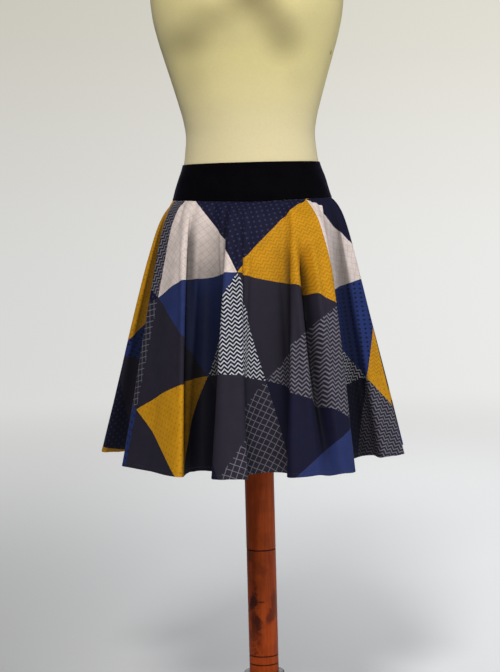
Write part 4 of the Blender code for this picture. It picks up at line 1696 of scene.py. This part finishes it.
class SKIRT_OT_stand(bpy.types.Operator):
    """Makes the varnished pole, its dark collar and the round base"""
    bl_idname = "skirt.stand"
    bl_label = "Stand"

    def execute(self, context):
        colours = context.scene.skirt_colours
        foot = [(BASE_RADIUS - BASE_EDGE_RADIUS, 0.0)]
        foot += corner_arc(
            BASE_RADIUS - BASE_EDGE_RADIUS, BASE_EDGE_RADIUS, BASE_EDGE_RADIUS,
            FOOT_ARC_START, 0)
        foot += corner_arc(
            BASE_RADIUS - BASE_EDGE_RADIUS, BASE_HEIGHT - BASE_EDGE_RADIUS, BASE_EDGE_RADIUS,
            0, 90)
        level_wood = wood_material("varnished_wood_level", colours, False, (), ())
        base = turned_piece("turned_base", foot, level_wood)
        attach(base, BODY)
        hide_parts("base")

        low = BASE_HEIGHT + GAP
        high = FORM_BOTTOM - GAP
        inner = POLE_RADIUS - POLE_EDGE_RADIUS
        shaft = [(inner, low)]
        shaft += corner_arc(
            inner, low + POLE_EDGE_RADIUS, POLE_EDGE_RADIUS, FOOT_ARC_START, 0)
        for height in GROOVE_HEIGHTS:
            for step in range(GROOVE_STEPS + 1):
                angle = math.pi * step / GROOVE_STEPS
                shaft.append((
                    POLE_RADIUS - GROOVE_DEPTH * math.sin(angle),
                    height - GROOVE_WIDTH / 2 * math.cos(angle),
                ))
        shaft += corner_arc(inner, high - POLE_EDGE_RADIUS, POLE_EDGE_RADIUS, 0, 90)
        upright_wood = wood_material(
            "varnished_wood_upright", colours, True, POLE_STAINS, GROOVE_HEIGHTS)
        pole = turned_piece("turned_pole", shaft, upright_wood)
        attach(pole, BODY)
        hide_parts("pole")

        hole = POLE_RADIUS + GAP
        edge = COLLAR_RADIUS - COLLAR_EDGE_RADIUS
        ring = [(hole, low), (COLLAR_RADIUS, low)]
        ring += corner_arc(edge, COLLAR_TOP - COLLAR_EDGE_RADIUS, COLLAR_EDGE_RADIUS, 0, 90)
        ring += [(hole, COLLAR_TOP)]
        collar = turned_ring("turned_collar", ring, collar_material(colours))
        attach(collar, BODY)
        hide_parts("pole_collar")
        return {"FINISHED"}


class SKIRT_OT_dress_form(bpy.types.Operator):
    """Makes the limbless dress form in its cream jersey"""
    bl_idname = "skirt.dress_form"
    bl_label = "Dress Form"

    def execute(self, context):
        colours = context.scene.skirt_colours
        heights = [FORM_SECTIONS[0].height]
        for below, above in zip(FORM_SECTIONS, FORM_SECTIONS[1:]):
            rise = above.height - below.height
            steps = max(FORM_LEAST_ROWS, math.ceil(rise / FORM_ROW_HEIGHT))
            heights += [below.height + rise * step / steps for step in range(1, steps + 1)]
        heights = np.array(heights)
        degrees = 360.0 * np.arange(FORM_COLUMNS) / FORM_COLUMNS
        points = form_points(heights[:, None], degrees[None, :])
        front = points[..., 1] < 0
        for dent in JERSEY_DENTS:
            across = (points[..., 0] - dent.x) / dent.half_width
            slant = DENT_SLANT * (points[..., 0] - dent.x)
            up = (points[..., 2] - dent.z - slant) / dent.half_height
            points[..., 1] += front * dent.depth * np.exp(-across**2 - up**2)
        faces, corner_row, corner_column = grid_faces(len(heights), FORM_COLUMNS)
        round_form = corner_column * (JERSEY_ROUND / FORM_COLUMNS)
        cut = np.stack([round_form, heights[corner_row]], axis=-1).reshape(-1, 2)
        faces = faces.tolist() + end_faces(len(heights), FORM_COLUMNS)
        cut = np.concatenate([cut, points[0, ::-1, :2], points[-1, :, :2]])
        form = make_piece("jersey_form", points.reshape(-1, 3), faces,
                          [jersey_material(colours)], cut=cut)
        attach(form, BODY)
        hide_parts("form_torso")
        return {"FINISHED"}


class SKIRT_OT_waistband(bpy.types.Operator):
    """Makes the velvet waistband with its centre-back seam"""
    bl_idname = "skirt.waistband"
    bl_label = "Waistband"

    def execute(self, context):
        colours = context.scene.skirt_colours
        degrees = 360.0 * np.arange(BAND_COLUMNS) / BAND_COLUMNS
        beside = np.array(BESIDE_BAND_SEAM)
        degrees = np.unique(np.concatenate([
            degrees, BAND_SEAM_ANGLE + beside, BAND_SEAM_ANGLE - beside]))
        foot = band_foot(degrees)
        radius = BAND_THICKNESS / 2
        shares = np.linspace(0.0, 1.0, BAND_ROWS)[:, None]
        heights = foot + (BAND_TOP - radius - foot) * shares
        above = heights - foot
        uneven = BAND_UNEVENNESS * sum(
            wave.part * np.sin(wave.rounds * np.radians(degrees) + wave.drift * shares + wave.start)
            for wave in BAND_WAVES)
        swell = BAND_SWELL * np.sin(np.pi * shares) + BAND_LIP * np.exp(
            -((above / BAND_LIP_HEIGHT) ** 2))
        apart = np.radians(degrees - BAND_SEAM_ANGLE) * BAND_SEAM_REACH
        seam = BAND_SEAM_DEPTH * np.exp(-((apart / BAND_SEAM_WIDTH) ** 2))
        outer_out = GAP + BAND_THICKNESS + swell + uneven * np.sin(np.pi * shares) - seam
        rings = [form_points(heights, degrees, outer_out)]
        for angle in np.radians(BAND_EDGE_DEGREES):
            out = GAP + radius + radius * np.cos(angle) - seam * (1 + np.cos(angle)) / 2
            height = BAND_TOP - radius + radius * np.sin(angle)
            rings.append(form_points(height, degrees, out)[None])
        rings.append(form_points(heights[::-1], degrees, GAP))
        points = np.concatenate(rings)
        band = make_piece("velvet_band", points.reshape(-1, 3),
                          ring_faces(len(points), len(degrees)),
                          [velvet_material(colours)], sharp=SHARP_BAND_EDGE)
        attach(band, BODY)
        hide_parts("waistband")
        return {"FINISHED"}


PANELS = (
    # piece, node it stands for, first and last outline point, and its place on the printed cloth
    ("front_panel", "skirt_front", SIDE_SEAMS[0], SIDE_SEAMS[1], (0.0, 0.0)),
    ("back_panel", "skirt_back", SIDE_SEAMS[1], SIDE_SEAMS[0] + AROUND, (0.55, 0.31)),
)


class SKIRT_OT_panels(bpy.types.Operator):
    """Makes the front and back panels of printed cloth"""
    bl_idname = "skirt.panels"
    bl_label = "Skirt Panels"

    def execute(self, context):
        colours = context.scene.skirt_colours
        sizes = context.scene.skirt_sizes
        outside = cloth_material("printed_cloth_face", colours, sizes, 0.0, CLOTH_ROUGHNESS)
        inside = cloth_material(
            "printed_cloth_inside", colours, sizes, INSIDE_FADING, INSIDE_ROUGHNESS)
        for name, node, first, last, offset in PANELS:
            points, normals, places, shares, painted_fold_shade = panel_surface(first, last, sizes)
            along = unit(np.gradient(points, axis=1))
            points[:, 0] += along[:, 0] * (GAP / 2)
            points[:, -1] -= along[:, -1] * (GAP / 2)
            flat = flat_places(first, last, places, shares, offset)
            loop, loop_flat = cloth_wall(points, normals, flat, sizes)
            # painted shade of the folds on the outside rows only
            loop_painted_fold_shade = np.zeros(loop.shape[:2])
            loop_painted_fold_shade[:len(shares)] = painted_fold_shade
            corner_row, corner_column, slots = loop_faces(
                loop.shape[0], len(shares), loop.shape[1])
            faces = corner_row * loop.shape[1] + corner_column
            cut = loop_flat[corner_row, corner_column].reshape(-1, 2)
            panel = make_piece(name, loop.reshape(-1, 3), faces.tolist(), [outside, inside],
                               slots=slots, cut=cut, painted_fold_shade=loop_painted_fold_shade,
                               sharp=SHARP_PANEL_EDGE)
            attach(panel, BODY)
            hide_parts(node)
        return {"FINISHED"}


class SKIRT_OT_hem_stitches(bpy.types.Operator):
    """Lays the hem's stitch row round both panels"""
    bl_idname = "skirt.hem_stitches"
    bl_label = "Hem Stitches"

    def execute(self, context):
        sizes = context.scene.skirt_sizes
        stitch = context.scene.skirt_stitches
        tree = stitch_tree(thread_material(context.scene.skirt_colours))
        for name, _, first, last, _ in PANELS:
            points, normals, *_ = panel_surface(first, last, sizes)
            lines = [hem_line(points, normals, sizes, stitch, side) for side in (1, -1)]
            row = lay_stitches(name.replace("panel", "hem_stitches"), lines, tree, stitch)
            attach(row, BODY)
            half = panel_cut_angle(first, last) / 2
        return {"FINISHED"}


class SKIRT_PT_panel(bpy.types.Panel):
    """Lists the pieces and their sizes and colours"""
    bl_idname = "SKIRT_PT_panel"
    bl_label = "Circle Skirt"
    bl_space_type = "VIEW_3D"
    bl_region_type = "UI"
    bl_category = "Skirt"

    def draw(self, context):
        layout = self.layout
        for operator in OPERATORS:
            layout.operator(operator.bl_idname)
        for group in (
            context.scene.skirt_sizes, context.scene.skirt_stitches, context.scene.skirt_colours,
        ):
            box = layout.box()
            for name in group.bl_rna.properties.keys():
                if name not in ("rna_type", "name"):
                    box.prop(group, name)


OPERATORS = (
    SKIRT_OT_stage,
    SKIRT_OT_stand,
    SKIRT_OT_dress_form,
    SKIRT_OT_waistband,
    SKIRT_OT_panels,
    SKIRT_OT_hem_stitches,
)
GROUPS = (
    ("skirt_sizes", SkirtSizes),
    ("skirt_stitches", StitchSizes),
    ("skirt_colours", SkirtColours),
)


def register():
    for name, group in GROUPS:
        bpy.utils.register_class(group)
        setattr(bpy.types.Scene, name, bpy.props.PointerProperty(type=group))
    for item in (*OPERATORS, SKIRT_PT_panel):
        bpy.utils.register_class(item)


def unregister():
    for item in (SKIRT_PT_panel, *reversed(OPERATORS)):
        bpy.utils.unregister_class(item)
    for name, group in reversed(GROUPS):
        delattr(bpy.types.Scene, name)
        bpy.utils.unregister_class(group)


def main():
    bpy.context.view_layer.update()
    register()
    bpy.ops.skirt.stage()
    bpy.ops.skirt.stand()
    bpy.ops.skirt.dress_form()
    bpy.ops.skirt.waistband()
    bpy.ops.skirt.panels()
    bpy.ops.skirt.hem_stitches()


if __name__ == "__main__":
    main()
